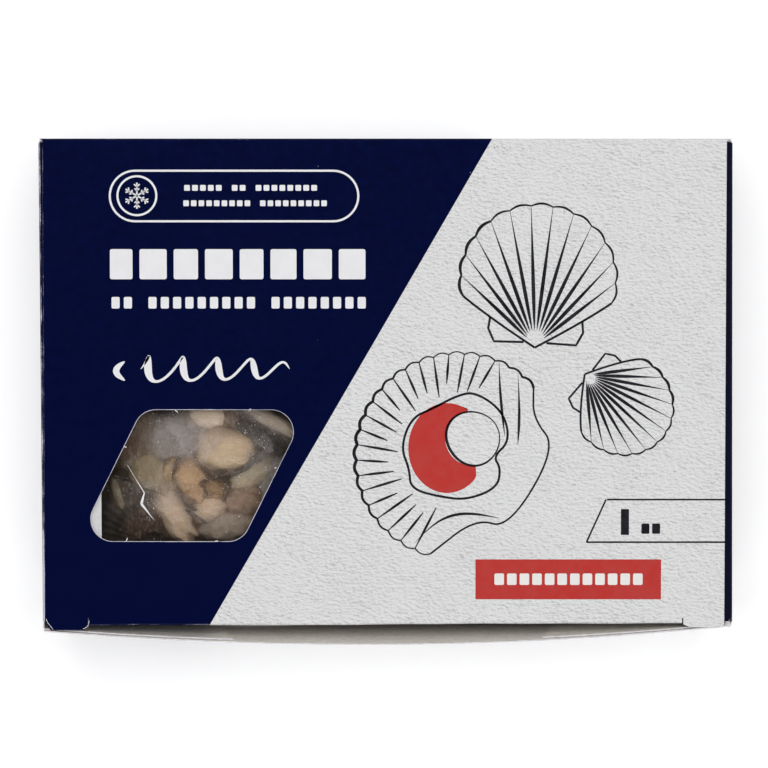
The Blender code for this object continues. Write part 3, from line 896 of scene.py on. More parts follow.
for k in range(6):
    arm = np.array([math.sin(k * math.pi / 3), math.cos(k * math.pi / 3)])
    beside = np.array([arm[1], -arm[0]])
    notice.append(stroke([SIGN_MIDDLE, SIGN_MIDDLE + arm * SIGN_ARM], ARM_LINE))
    for reach, length in ((0.0017, 0.0011), (0.0030, 0.0013)):
        root = SIGN_MIDDLE + arm * reach
        for hand in (-1, 1):
            notice.append(stroke([root, root + (arm + hand * beside) * length * 0.75], TWIG_LINE))
notice += block_line(-0.0698, -0.0240, 0.0705, 0.0020, (5, 2, 8))
notice += block_line(-0.0701, -0.0206, 0.0652, 0.0020, (9, 9))
print_piece("print_notice", notice, white_ink)

# Title and second line, as plain blocks.
TITLE_LEFT, TITLE_Y, TITLE_HEIGHT, TITLE_GAP, TITLE_RADIUS = -0.0955, 0.0442, 0.0104, 0.0024, 0.0007
SECOND_WORDS, SECOND_GAP = (2, 9, 8), 0.34
title, at = [], TITLE_LEFT
for width in (0.0078, 0.0094, 0.0084, 0.0096, 0.0082, 0.0090, 0.0098, 0.0092):
    title.append(bar(at + width / 2, TITLE_Y, width, TITLE_HEIGHT, TITLE_RADIUS))
    at += width + TITLE_GAP
title += block_line(-0.0950, -0.0072, 0.0309, 0.0040, SECOND_WORDS, SECOND_GAP)
print_piece("print_title", title, white_ink)

# A brush wave: rolling crests whose strokes swell going down, with a dab before it and a long tail.
WAVE_LEFT, WAVE_RIGHT, WAVE_Y, WAVE_SWING, WAVE_COUNT = -0.0868, -0.0335, 0.0080, 0.0046, 4.5
DAB_X, DAB_Y, DAB_BOW, DAB_LENGTH = -0.0905, 0.0106, 0.0030, 0.0066
share = np.linspace(0, 1, 260)
phase = 2 * math.pi * WAVE_COUNT * share
dying = 1 - 0.35 * share
swing = WAVE_SWING * dying * smooth_step(share, -0.10, 0.06) * smooth_step(1 - share, -0.25, 0.20)
rise = swing * np.sin(phase)
wave_x = WAVE_LEFT + (WAVE_RIGHT - WAVE_LEFT) * share + 0.38 * rise + 0.0018 * np.cos(phase) * (1 - share)
press = 0.00042 + 0.00088 * np.clip(-np.cos(phase), 0, 1) ** 1.3 * dying
press *= smooth_step(share, -0.01, 0.03) * smooth_step(1 - share, -0.01, 0.08) + 0.05
step = np.linspace(0, 1, 24)
swell = np.sin(math.pi * step)
dab = np.column_stack([DAB_X - DAB_BOW * swell, DAB_Y - DAB_LENGTH * step])
wave = [stroke(np.column_stack([wave_x, WAVE_Y + rise]), press), stroke(dab, 0.0010 * swell**0.7 + 0.0001)]
print_piece("print_brush_wave", wave, white_ink)


def fan_shell(hinge, lean, reach, half_width, weight, ribs=14):
    """A drawn fan shell: its margin is a row of small arcs on an oval, its ribs run from where the arcs
    meet towards the hinge and swell on the way, its sides bow in to the hinge between two ears."""
    spread = math.radians(106)
    bends = np.linspace(-spread, spread, ribs)
    middle = 0.48 * reach

    def margin(angle, bulge):
        wide, high = half_width * (1 + bulge), (reach - middle) * (1 + bulge)
        return np.stack([wide * np.sin(angle), middle + high * np.cos(angle)], axis=-1)

    lines = []
    step = np.linspace(0, 1, 12)
    swell = np.sin(math.pi * step)
    for a, b in zip(bends[:-1], bends[1:]):
        heavy = 1.55 if a + b < -1.4 else 1.05
        lines.append((margin(a + (b - a) * step, 0.030 * swell), weight * heavy * (0.65 + 0.35 * swell)))
    step = np.linspace(0, 1, 16)
    for a in bends[1:-1]:
        tip = margin(np.array(a), 0.0)
        root = tip * 0.11 + [0, 0.015 * reach]
        lines.append((between(root, tip, step), weight * (0.2 + 1.6 * np.sin(math.pi * step**0.62) ** 1.3)))
    step = np.linspace(0, 1, 14)[:, None]
    for side in (-1, 1):
        end, control = margin(np.array(side * spread), 0.0), np.array([side * 0.34, 0.20]) * reach
        lines.append(((1 - step) ** 2 * end + 2 * step * (1 - step) * control, weight * 1.1))
        ear = np.array([(0.325, 0.203), (0.335, 0.12), (0.290, 0.03), (0.08, 0.035)]) * [side, 1]
        edges = [between(a, b, np.linspace(0, 1, 6)[:-1]) for a, b in zip(ear[:-1], ear[1:])]
        lines.append((np.concatenate([*edges, ear[-1:]]) * reach, weight * 1.1))
    c, s = math.cos(lean), math.sin(lean)
    spin = np.array([[c, s], [-s, c]])
    return [stroke(path @ spin + hinge, half) for path, half in lines]


shells = fan_shell((0.0512, 0.0154), -0.05, 0.0490, 0.0266, 0.00036)
shells += fan_shell((0.0685, 0.0062), math.radians(-129), 0.0345, 0.0168, 0.00032)
print_piece("print_fan_shells", shells, black_ink)

# The opened shell: a scalloped margin with a hinge side, a wavy inner edge, ribs between them, the round
# muscle and the red roe beside it.
OPEN_CENTRE = np.array([0.0239, -0.0212])


def cut_corners(path, rounds, closed=False):
    """A path whose corners are cut again and again, each at a quarter of its two sides."""
    for _ in range(rounds):
        after = np.roll(path, -1, axis=0) if closed else path[1:]
        before = path if closed else path[:-1]
        cut = np.stack([0.75 * before + 0.25 * after, 0.25 * before + 0.75 * after], axis=1).reshape(-1, 2)
        path = cut if closed else np.concatenate([path[:1], cut, path[-1:]])
    return path


def shell_margin(angle, ripple=0.0):
    """The opened shell's outer edge at each angle, rippled by arcs between its ribs."""
    reach = 0.0352 - 0.0016 * np.sin(angle - 0.6) * np.sin(angle / 2) + ripple
    return OPEN_CENTRE + polar(reach, angle)


FIRST_RIB, LAST_RIB, RIB_COUNT = math.radians(40), math.radians(256), 24
HEART_REACH = 0.0222
along = np.linspace(FIRST_RIB, LAST_RIB, 340)
arcs = 0.0009 * np.abs(np.sin(math.pi * (along - FIRST_RIB) / (LAST_RIB - FIRST_RIB) * RIB_COUNT))
open_lines = [stroke(shell_margin(along, arcs), 0.00040 + 0.00018 * np.sin(2.2 * along + 1.2))]
hinge_side = 0.001 * np.array([(26.8, 12.0), (35.0, 2.0), (18.4, -26.2), (7.0, -22.6)]) + OPEN_CENTRE
hinge_side = np.concatenate([shell_margin(along[:1]), hinge_side, shell_margin(along[-1:])])
open_lines.append(stroke(cut_corners(hinge_side, 4), 0.00032))
inner_edge = 0.001 * np.array([
    (6.8, 21.3), (0.5, 20.0), (-8.0, 15.5), (-15.4, 12.2), (-19.0, 2.0), (-16.0, -5.5), (-15.6, -12.4),
    (-5.0, -15.2), (4.0, -16.2), (14.5, -12.0), (15.6, -5.0), (13.0, -1.2), (18.8, 4.2), (16.5, 14.5)])
open_lines.append(stroke(cut_corners(inner_edge + OPEN_CENTRE, 3, closed=True), 0.00040, closed=True))
step = np.linspace(0, 1, 14)
rib_press = 0.00018 + 0.00034 * np.sin(math.pi * step**1.3) ** 1.3 * (1 - 0.4 * step)
for k in range(3, RIB_COUNT):
    angle = np.array(FIRST_RIB + (LAST_RIB - FIRST_RIB) * k / RIB_COUNT)
    heart = OPEN_CENTRE + polar(HEART_REACH + 0.0022 * math.sin(k * 2.4), angle + 0.06)
    open_lines.append(stroke(between(shell_margin(angle), heart, step), rib_press))
# Three brush lines in its hollow: start and end from the shell's middle, and how far they bow.
step = np.linspace(0, 1, 16)
for start, end, sway in (((0.0150, 0.0315), (0.0170, 0.0060), 0.0012),
                         ((0.0215, 0.0275), (0.0215, 0.0030), -0.0012),
                         ((-0.0140, -0.0310), (0.0150, -0.0225), 0.0050)):
    path = OPEN_CENTRE + between(np.array(start), np.array(end), step)
    path += sway * np.sin(math.pi * step)[:, None] * [-0.4, 1]
    open_lines.append(stroke(path, 0.00006 + 0.00042 * np.sin(math.pi * step**1.4)))
MUSCLE = OPEN_CENTRE + [0.0060, 0.0052]
MUSCLE_RADIUS, ROE_NEAR = 0.0091, 0.0096
ROE_MIDDLE, ROE_WIDE, ROE_HIGH = OPEN_CENTRE + [-0.0030, 0.0018], 0.0134, 0.0156
angle = np.linspace(0, 2 * math.pi, 80, endpoint=False)
reach = MUSCLE_RADIUS * (1 + 0.035 * np.cos(2 * angle + 1.2) + 0.02 * np.sin(3 * angle))
muscle_edge = MUSCLE + polar(reach, angle) * [1, 1.04]
open_lines.append(stroke(muscle_edge, 0.00034 - 0.00014 * np.cos(angle - 0.4), closed=True))
print_piece("print_open_shell", open_lines, black_ink)
share = np.linspace(0, 1, 90)
far_side = ROE_MIDDLE + polar(1, math.radians(58) + math.radians(258) * share) * [ROE_WIDE, ROE_HIGH]
near_side = MUSCLE + polar(ROE_NEAR, math.radians(82) + math.radians(204) * share)
fill = (smooth_step(share, -0.02, 0.10) * smooth_step(1 - share, -0.03, 0.06))[:, None]
roe = np.stack([far_side, far_side + (near_side - far_side) * fill], axis=1)
print_piece("print_roe", [roe], red_ink)

# The weight frame, open to the lid's edge, with a plain bar and two small blocks; and the red label.
FRAME_LINE = 0.0003
FRAME_TOP, FRAME_FOOT = np.array([0.0763, -0.0373]), np.array([0.0693, -0.0521])
weight = [
    stroke([FRAME_TOP, (LID_RIGHT, FRAME_TOP[1])], FRAME_LINE),
    stroke([FRAME_TOP - [FRAME_LINE, 0], FRAME_FOOT], FRAME_LINE),
    stroke([FRAME_FOOT, (LID_RIGHT, FRAME_FOOT[1])], FRAME_LINE),
    bar(0.0826, -0.0451, 0.0028, 0.0090, 0.0002),
]
weight += block_line(0.0883, 0.0948, -0.0474, 0.0036, (2,), 0.25)
print_piece("print_weight_frame", weight, black_ink)
print_piece("print_label", [bar(0.0630, -0.06505, 0.0644, 0.0139, 0.0002)], red_ink)


def on_label(flat, lift):
    """Points for ink that lies over the label's own ink."""
    return on_lid(flat, lift + INK * 0.5)


label_words = block_line(0.0374, 0.0888, -0.0650, 0.0040, (12,), 0.24)
print_piece("print_label_words", label_words, pale_ink, on_label)

# --- Print on the walls and the base --------------------------------------------------------------
# The same inks carry the pack's small print: rows of plain blocks on the navy and the stucco ground,
# with a fan shell on the front wall.


def on_front(flat, lift):
    """Points x, height on the front wall, lifted outwards."""
    y = front_wall_y(flat[..., 0], front_rise(flat[..., 1])) - lift
    return grid_points(flat[..., 0], y, flat[..., 1])


def on_back(flat, lift):
    """Points x, height on the back wall as seen from behind, lifted outwards."""
    return grid_points(-flat[..., 0], BACK_Y + lift, flat[..., 1])


def on_base(flat, lift):
    """Points x, y on the underside as seen from below, lifted downwards."""
    return grid_points(-flat[..., 0], flat[..., 1], BASE_Z - lift)


def on_left(flat, lift):
    """Points y, height on the left wall as seen from the left, lifted outwards."""
    return grid_points(side_wall_x(-1, -flat[..., 0], flat[..., 1]) - lift, -flat[..., 0], flat[..., 1])


def on_right(flat, lift):
    """Points y, height on the right wall, lifted outwards."""
    return grid_points(side_wall_x(1, flat[..., 0], flat[..., 1]) + lift, flat[..., 0], flat[..., 1])


def paragraph(left, right, top, pitch, height, lines):
    """Rows of block words going down from top; a row's last words may end short of the right side."""
    widest = max(sum(words) + len(words) for words in lines)
    rows = []
    for k, words in enumerate(lines):
        end = left + (right - left) * (sum(words) + len(words)) / widest
        rows += block_line(left, end, top - k * pitch, height, words)
    return rows


def small_title(left, y):
    """The title again, in eight even blocks."""
    return [bar(left + 0.0108 * k, y, 0.0088, 0.0092, 0.0006) for k in range(8)]


SMALL = (0.0036, 0.0016)  # a row's pitch and height
front_white = block_line(-0.1120, -0.0690, 0.0400, 0.0042, (8,), 0.24)
front_white += paragraph(-0.1120, -0.0690, 0.0325, *SMALL, [(7, 4, 9), (5, 8, 6), (9, 3, 5), (4, 7)])
print_piece("print_front_white", front_white, white_ink, on_front)
front_black = paragraph(-0.0500, 0.0080, 0.0420, *SMALL, [
    (8, 5, 10, 4), (6, 9, 3, 8), (10, 7, 6, 4), (5, 5, 8, 9), (9, 6, 4, 7), (7, 8)])
front_black += paragraph(0.0200, 0.0580, 0.0420, *SMALL, [(6, 8, 3), (9, 7), (4, 5, 6), (8, 3, 5), (7,)])
front_black += fan_shell((0.0890, 0.0150), 0.0, 0.0300, 0.0165, 0.00028)
print_piece("print_front_black", front_black, black_ink, on_front)

back_white = small_title(-0.0250, 0.0395)
back_white += block_line(-0.0290, 0.0550, 0.0275, 0.0034, SECOND_WORDS, SECOND_GAP)
back_white += paragraph(0.0680, 0.1100, 0.0440, 0.0040, 0.0018, [
    (6, 7, 4), (9, 5, 3), (4, 8), (7, 6, 4), (5, 3)])
print_piece("print_back_white", back_white, white_ink, on_back)
back_black = paragraph(-0.1100, -0.0480, 0.0460, *SMALL, [
    (7, 9, 4, 6), (5, 8, 8, 5), (9, 6, 7, 4), (8, 3, 9, 5), (6, 7, 5, 8), (4, 9, 7), (8, 6, 4, 7), (5, 5)])
print_piece("print_back_black", back_black, black_ink, on_back)

side_words = small_title(-0.0370, 0.0350)
side_words += block_line(-0.0412, 0.0430, 0.0230, 0.0034, SECOND_WORDS, SECOND_GAP)
print_piece("print_left_wall", side_words, white_ink, on_left)
print_piece("print_right_wall", side_words, white_ink, on_right)

base_words = paragraph(-0.1080, -0.0450, 0.0560, 0.0042, 0.0019, [
    (8, 5, 9, 6), (7, 9, 4, 8), (5, 6, 8, 9), (9, 4, 7, 5), (6, 8, 3, 9), (4, 7, 9, 5), (8, 6, 5),
    (7, 7, 3, 8), (5, 9)])
base_words += paragraph(-0.1080, -0.0250, 0.0060, 0.0042, 0.0019, [
    (9, 6, 8, 5, 7), (6, 8, 5, 9, 6), (8, 4, 7, 7, 8), (5, 9, 6, 4, 9), (7, 6, 8, 8, 5), (4, 5, 9, 6)])
print_piece("print_base", base_words, black_ink, on_base)

# --- The bag's contents: frozen scallops ----------------------------------------------------------
# Under the film lie frozen scallops on their half shells: pale muscles, brown roes, grey mantles and
# dark ribbed shells, frozen together over a core that only fills the bag's depth. The core is near black
# as painted shade in the gaps between the pieces.

BAG_LOW, BAG_HIGH = (np.array(corner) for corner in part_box("scallop_bag"))
BAG_MIDDLE = (BAG_LOW + BAG_HIGH) / 2
BAG_HALF = (BAG_HIGH - BAG_LOW) / 2
SEAM_Z = 0.0200
SHELL_WALL = 0.0011


def pillow(u, v, low, top):
    """Upper and lower height of a pillow over the square -1 to 1, on a level seam."""
    swell = np.sqrt(np.clip((1 - u**6) * (1 - v**6), 0, 1))
    return SEAM_Z + (top - SEAM_Z) * swell, SEAM_Z - (SEAM_Z - low) * np.minimum(1, 1.25 * swell)


def turned_about(x, y, angle):
    """x and y turned about the vertical."""
    c, s = math.cos(angle), math.sin(angle)
    return x * c - y * s, x * s + y * c


def flesh(x, y, top, size, turn, square, folds, seed, rows=30, columns=56):
    """A soft piece: a superellipsoid turned about the vertical, whose surface is pushed in and out by
    crossing sine folds. Returns points (rows, columns, xyz) and how far each faces up, 0 to 1."""
    lift = np.linspace(-math.pi / 2, math.pi / 2, rows)[:, None]
    around = np.linspace(0, 2 * math.pi, columns)[None, :]

    def power(value, exponent):
        return np.sign(value) * np.abs(value) ** exponent

    px = power(np.cos(lift), 0.9) * power(np.cos(around), square)
    py = power(np.cos(lift), 0.9) * power(np.sin(around), square)
    pz = power(np.sin(lift), 0.9) + 0 * around
    ripple = 1 + folds * (np.sin(3 * around + 5 * px + seed) * np.sin(4 * lift + 3 * py + 2 * seed)
                          + 0.6 * np.sin(7 * px + 9 * py + seed * 3) * np.cos(lift))
    ripple = 1 + (ripple - 1) * np.cos(lift) ** 0.3 if folds else ripple
    a, b, c = size
    px, py, pz = px * a * ripple, py * b * ripple, pz * c * (1 + 0.5 * (ripple - 1))
    px, py = turned_about(px, py, turn)
    return np.stack([x + px, y + py, top - c + pz], axis=2), np.clip(pz / c, 0, 1)


def half_shell(x, y, top, size, turn, tilt, dome=1.0, ribs=24, rows=20, columns=145):
    """A ribbed half shell, domed upwards (dome 1) or hollow (-1): rings grow from the hinge to a fluted
    rim, and the height is that of a shallow bowl over the rim's middle. The lower rings repeat it a
    wall's thickness below, back to the hinge."""
    ring = np.linspace(0, 1, rows)[:, None]
    angle = np.linspace(0, 2 * math.pi, columns)[None, :]
    flute = np.cos(ribs * angle)
    reach = size * ring * (1 + 0.02 * flute * ring)
    px, py = reach * np.cos(angle), reach * np.sin(angle) - 0.88 * size * (1 - ring)
    bowl = np.clip(1 - (px**2 + py**2) / size**2, 0, 1)
    rise = dome * 0.34 * size * bowl + 0.026 * size * flute * ring * (1 - 0.3 * ring)
    upper = np.stack([px, py, rise], axis=2)
    lower = np.stack([px, py, rise - SHELL_WALL], axis=2)[::-1]
    points = np.concatenate([upper, lower])
    flat_x, flat_y = turned_about(points[..., 0], points[..., 1], turn)
    z = points[..., 2] + tilt * flat_x
    z += top - z.max()
    bands = np.broadcast_to(0.5 + 0.5 * np.sin(np.concatenate([ring, ring[::-1]]) * 26), z.shape)
    return np.stack([x + flat_x, y + flat_y, z], axis=2), bands


def soft_mesh(name, pieces, made):
    """One mesh from closed grids, each (points, colours): the last column repeats the first, the end
    rows shrink to poles, and colours go into the attribute tint."""
    points, colours, faces, start = [], [], [], 0
    for grid, tint in pieces:
        rows, columns = grid.shape[:2]
        faces.append(grid_quads(rows, columns, start).reshape(-1, 4))
        points.append(grid.reshape(-1, 3))
        colours.append(np.broadcast_to(tint, (rows, columns, 3)).reshape(-1, 3))
        start += rows * columns
    points, colours, faces = np.concatenate(points), np.concatenate(colours), np.concatenate(faces)
    mesh = bpy.data.meshes.new(name)
    mesh.from_pydata(points.tolist(), [], faces.tolist())
    tint = mesh.attributes.new("tint", "FLOAT_COLOR", "POINT")
    rgba = np.column_stack([colours, np.ones(len(colours))])
    tint.data.foreach_set("color", rgba.astype(np.float32).ravel())
    weld(mesh, 1e-6, thinnest=1e-7)
    mesh.shade_smooth()
    mesh.materials.append(made)
    piece = add_object(name, mesh)
    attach(piece, "root")
    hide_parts("scallop_bag")
    return piece


def flesh_material(name, grain, fold_scale, roughness, cast, vein_strength):
    """Frozen flesh: its tint with painted light and shade, mottled, with grain along its fibres and a thin
    ice glaze.
    """
    made, tree = new_material(name, Coat_Weight=0.35, Coat_Roughness=0.18)
    place = object_place(tree, grain)
    mottle = noise(tree, place, 190, detail=4.0, distortion=0.7)
    fibre = noise(tree, place, fold_scale, detail=4.0, distortion=0.5)
    colour = mix(tree, ramp(tree, mottle, 0.35, 0.75), painted(tree, "tint")["Color"], cast, "MULTIPLY")
    pale = times(tree, ramp(tree, fibre, 0.45, 0.8), 0.30)
    colour = mix(tree, pale, colour, (0.62, 0.55, 0.46, 1))
    vein = line_of(tree, noise(tree, place, 120, detail=4.0, distortion=1.4), 0.004, 0.030)
    blotch = ramp(tree, noise(tree, place, 75, detail=3.0), 0.50, 0.62)
    dark = times(tree, times(tree, vein, blotch), vein_strength)
    shade(tree, Base_Color=mix(tree, dark, colour, (0.055, 0.030, 0.018, 1)),
          Roughness=ramp(tree, fibre, 0.2, 0.8, roughness - 0.1, roughness + 0.15),
          Normal=bump(tree, plus(tree, fibre, mottle), 0.6, 0.0006))
    return made


def tinted(grid, share, high_colour, low_colour):
    """A grid with a tint for each of its points: the low colour at share 0, the high one at share 1."""
    low = np.array(low_colour)
    return grid, low + (np.array(high_colour) - low) * share[..., None]


def shaded(shape, high_colour, low_colour, **grid_size):
    """A flesh piece with its tint: the low colour as painted shade round its foot, the high colour as
    painted light where it faces up.
    """
    grid, upwards = flesh(*shape, **grid_size)
    return tinted(grid, smooth_step(upwards, 0.25, 0.85), high_colour, low_colour)


meat_material = flesh_material("frozen_muscle", (1.0, 3.0, 1.0), 700, 0.45, (0.80, 0.74, 0.66, 1), 0.35)
roe_material = flesh_material("frozen_roe", (1.0, 1.4, 1.0), 520, 0.40, (0.55, 0.42, 0.34, 1), 0.85)
mantle_material = flesh_material("frozen_mantle", (2.2, 1.0, 1.0), 420, 0.42, (0.58, 0.54, 0.52, 1), 0.60)

# Each piece by the window: (x, y, top, half sizes, turn, squareness, folds, seed), then its two tints,
# the painted light on its top and the painted shade at its foot
MEATS = [
    ((-0.0563, -0.0208, 0.0535, (0.0112, 0.0078, 0.0060), -0.08, 0.72, 0.05, 0.4),
     (0.66, 0.50, 0.33), (0.24, 0.18, 0.14)),
    ((-0.0622, -0.0412, 0.0530, (0.0068, 0.0048, 0.0045), 0.5, 0.8, 0.07, 2.0),
     (0.66, 0.49, 0.35), (0.30, 0.17, 0.10)),
    ((-0.0738, -0.0436, 0.0525, (0.0052, 0.0110, 0.0050), 0.46, 0.8, 0.13, 1.2),
     (0.60, 0.46, 0.33), (0.26, 0.17, 0.11)),
    ((-0.0622, -0.0086, 0.0520, (0.0078, 0.0050, 0.0045), 0.0, 0.8, 0.06, 3.1),
     (0.78, 0.64, 0.50), (0.26, 0.19, 0.14)),
    ((-0.0474, -0.0296, 0.0515, (0.0098, 0.0050, 0.0050), 0.62, 0.9, 0.07, 4.4),
     (0.46, 0.38, 0.27), (0.16, 0.13, 0.10)),
    ((-0.0400, -0.0104, 0.0515, (0.0140, 0.0032, 0.0040), -0.50, 0.9, 0.08, 5.2),
     (0.50, 0.42, 0.34), (0.12, 0.10, 0.09)),
]
ROES = [
    ((-0.0680, -0.0314, 0.0540, (0.0056, 0.0092, 0.0045), 0.45, 0.75, 0.10, 0.9),
     (0.52, 0.34, 0.19), (0.060, 0.026, 0.013)),
    ((-0.0615, -0.0342, 0.0534, (0.0064, 0.0044, 0.0040), -0.25, 0.8, 0.10, 2.7),
     (0.30, 0.19, 0.10), (0.040, 0.022, 0.014)),
    ((-0.0752, -0.0270, 0.0530, (0.0028, 0.0050, 0.0035), -0.35, 0.9, 0.10, 3.6),
     (0.42, 0.28, 0.15), (0.13, 0.065, 0.03)),
    ((-0.0548, -0.0085, 0.0512, (0.0042, 0.0058, 0.0040), 0.1, 0.9, 0.08, 1.9),
     (0.16, 0.10, 0.065), (0.05, 0.03, 0.02)),
    ((-0.0500, -0.0385, 0.0518, (0.0078, 0.0062, 0.0045), 0.3, 0.9, 0.08, 0.2),
     (0.30, 0.20, 0.14), (0.12, 0.075, 0.05)),
]
MANTLES = [
    ((-0.0737, -0.0160, 0.0522, (0.0115, 0.0100, 0.0050), 0.3, 0.9, 0.06, 1.1),
     (0.29, 0.25, 0.22), (0.10, 0.09, 0.08)),
    ((-0.0778, -0.0320, 0.0514, (0.0050, 0.0085, 0.0040), 0.35, 0.9, 0.09, 2.3),
     (0.34, 0.26, 0.17), (0.12, 0.09, 0.06)),
    ((-0.0555, -0.0470, 0.0516, (0.0105, 0.0056, 0.0045), 0.15, 0.9, 0.10, 3.3),
     (0.38, 0.30, 0.23), (0.15, 0.115, 0.085)),
    ((-0.0862, -0.0170, 0.0514, (0.0085, 0.0120, 0.0045), -0.2, 0.85, 0.05, 4.0),
     (0.125, 0.080, 0.050), (0.05, 0.034, 0.022)),
    ((-0.0838, -0.0274, 0.0514, (0.0066, 0.0084, 0.0042), 0.2, 0.9, 0.07, 5.0),
     (0.27, 0.21, 0.12), (0.09, 0.07, 0.045)),
    ((-0.0940, -0.0365, 0.0506, (0.0018, 0.0066, 0.0028), 0.30, 0.9, 0.06, 0.5),
     (0.21, 0.17, 0.11), (0.05, 0.04, 0.03)),
    ((-0.0452, -0.0160, 0.0523, (0.0092, 0.0026, 0.0030), -0.62, 0.9, 0.12, 6.1),
     (0.060, 0.058, 0.056), (0.02, 0.02, 0.02)),
    ((-0.0490, -0.0262, 0.0524, (0.0068, 0.0016, 0.0026), 0.55, 0.9, 0.12, 7.3),
     (0.090, 0.085, 0.080), (0.03, 0.028, 0.026)),
    ((-0.0860, -0.0455, 0.0500, (0.0095, 0.0066, 0.0035), 0.2, 0.9, 0.08, 1.5),
     (0.055, 0.028, 0.018), (0.02, 0.012, 0.010)),
    ((-0.0880, -0.0372, 0.0498, (0.0080, 0.0052, 0.0030), -0.5, 0.9, 0.08, 2.5),
     (0.060, 0.045, 0.036), (0.02, 0.016, 0.013)),
    ((-0.0400, -0.0330, 0.0500, (0.0060, 0.0120, 0.0040), -0.4, 0.9, 0.08, 3.5),
     (0.20, 0.18, 0.17), (0.08, 0.07, 0.065)),
]
meats, roes, mantles = ([shaded(*piece) for piece in pieces] for pieces in (MEATS, ROES, MANTLES))
# Thin dark strips run round the roe and between the pieces as painted shade in the crevices: x, y, top,
# half length, turn
CREVICE_SHADES = [
    (-0.0638, -0.0316, 0.0544, 0.0022, 0.5), (-0.0630, -0.0352, 0.0538, 0.0016, -1.2),
    (-0.0676, -0.0412, 0.0538, 0.0018, -0.2), (-0.0610, -0.0286, 0.0541, 0.0062, -0.62),
    (-0.0735, -0.0262, 0.0541, 0.0036, 1.25), (-0.0551, -0.0286, 0.0536, 0.0056, 0.36),
    (-0.0693, -0.0386, 0.0539, 0.0030, -0.85), (-0.0722, -0.0352, 0.0540, 0.0014, -1.0),
    (-0.0560, -0.0352, 0.0534, 0.0024, 1.2), (-0.0663, -0.0440, 0.0530, 0.0046, -0.55),
    (-0.0643, -0.0330, 0.0542, 0.0016, -0.4),
]
CREVICE_SHADE_WIDTH, CREVICE_SHADE_DEPTH = 0.00065, 0.0010
for x, y, top, reach, spin in CREVICE_SHADES:
    crevice_shade = (x, y, top, (reach, CREVICE_SHADE_WIDTH, CREVICE_SHADE_DEPTH), spin, 1.0, 0.10, reach * 900)
    roes.append(shaded(crevice_shade, (0.045, 0.022, 0.014), (0.02, 0.01, 0.008), rows=11, columns=31))
SHELL_LIGHT, SHELL_DARK = (0.060, 0.050, 0.040), (0.013, 0.011, 0.010)
shell_pieces = [tinted(*half_shell(*shape), light, dark) for shape, light, dark in (
    ((-0.0935, -0.0440, 0.0500, 0.0185, 0.9, 0.05), SHELL_LIGHT, SHELL_DARK),
    ((-0.0420, -0.0190, 0.0480, 0.0170, 2.1, -0.05), SHELL_LIGHT, SHELL_DARK),
    ((-0.0900, -0.0130, 0.0495, 0.0165, -0.6, 0.0), (0.14, 0.115, 0.08), (0.05, 0.042, 0.03)),
    ((-0.0640, -0.0280, 0.0460, 0.0230, 0.2, 0.0, -1.0), (0.20, 0.17, 0.14), (0.06, 0.05, 0.045)),
)]

# The rest of the bag's top layer: whole scallops in their half shells, set in staggered rows.
scatter = np.random.default_rng(11)
ROW_PITCH, COLUMN_PITCH = 0.0324, 0.041
WINDOW_KEEP = 0.047
SIDE_KEEP, END_KEEP = 0.028, 0.022
MEAT_SIZE, ROE_SIZE = (0.0078, 0.0075, 0.0055), (0.0040, 0.0080, 0.0035)
ROE_AWAY = 0.0075
for row in range(-2, 3):
    for column in range(-3, 4):
        x = column * COLUMN_PITCH + (row % 2) * COLUMN_PITCH / 2 - 0.008
        y = BAG_MIDDLE[1] + row * ROW_PITCH
        drift = scatter.normal(0, 0.002, 2)
        spin, lean = scatter.uniform(0, 2 * math.pi), scatter.uniform(-0.08, 0.08)
        x, y = x + drift[0], y + drift[1]
        in_bag = abs(x) <= BAG_HALF[0] - SIDE_KEEP and abs(y - BAG_MIDDLE[1]) <= BAG_HALF[1] - END_KEEP
        if not in_bag or math.hypot(x - WINDOW_CENTRE[0], y - WINDOW_CENTRE[1]) < WINDOW_KEEP:
            continue
        size = scatter.uniform(0.0165, 0.0185)
        bowl = half_shell(x, y, 0.0475, size, spin, lean, -1.0, rows=9, columns=73)
        shell_pieces.append(tinted(*bowl, (0.16, 0.13, 0.10), SHELL_DARK))
        meats.append(shaded((x, y, 0.0505, MEAT_SIZE, spin, 0.95, 0.03, spin),
                            (0.55, 0.44, 0.30), (0.2, 0.16, 0.12), rows=13, columns=25))
        rx, ry = x + ROE_AWAY * math.cos(spin), y + ROE_AWAY * math.sin(spin)
        roes.append(shaded((rx, ry, 0.0490, ROE_SIZE, spin, 0.9, 0.06, spin),
                           (0.45, 0.17, 0.07), (0.10, 0.04, 0.02), rows=13, columns=25))
        mantles.append(shaded((x, y, 0.0462, (size * 0.8, size * 0.78, 0.0035), spin, 1.0, 0.08, spin),
                              (0.24, 0.20, 0.16), (0.08, 0.07, 0.05), rows=9, columns=41))

shell_material, tree = new_material("wet_shell", Coat_Weight=0.3, Coat_Roughness=0.2, Roughness=0.5)
place = object_place(tree)
grit = noise(tree, place, 650, detail=4.0)
crust = ramp(tree, noise(tree, place, 150, detail=3.0), 0.55, 0.70)
tint = painted(tree, "tint")["Color"]
colour = mix(tree, ramp(tree, grit, 0.35, 0.7), tint, (0.45, 0.42, 0.40, 1), "MULTIPLY")
shade(tree, Base_Color=mix(tree, times(tree, crust, 0.5), colour, (0.10, 0.085, 0.06, 1)),
      Normal=bump(tree, grit, 0.5, 0.0003))

for name, pieces, made in (
        ("scallop_muscles", meats, meat_material), ("scallop_roes", roes, roe_material),
        ("scallop_mantles", mantles, mantle_material), ("scallop_shells", shell_pieces, shell_material)):
    soft_mesh(name, pieces, made)


# The core's near-black colour is painted shade for the gaps between the pieces.
CORE_SHADE_TINT = (0.02, 0.016, 0.013)


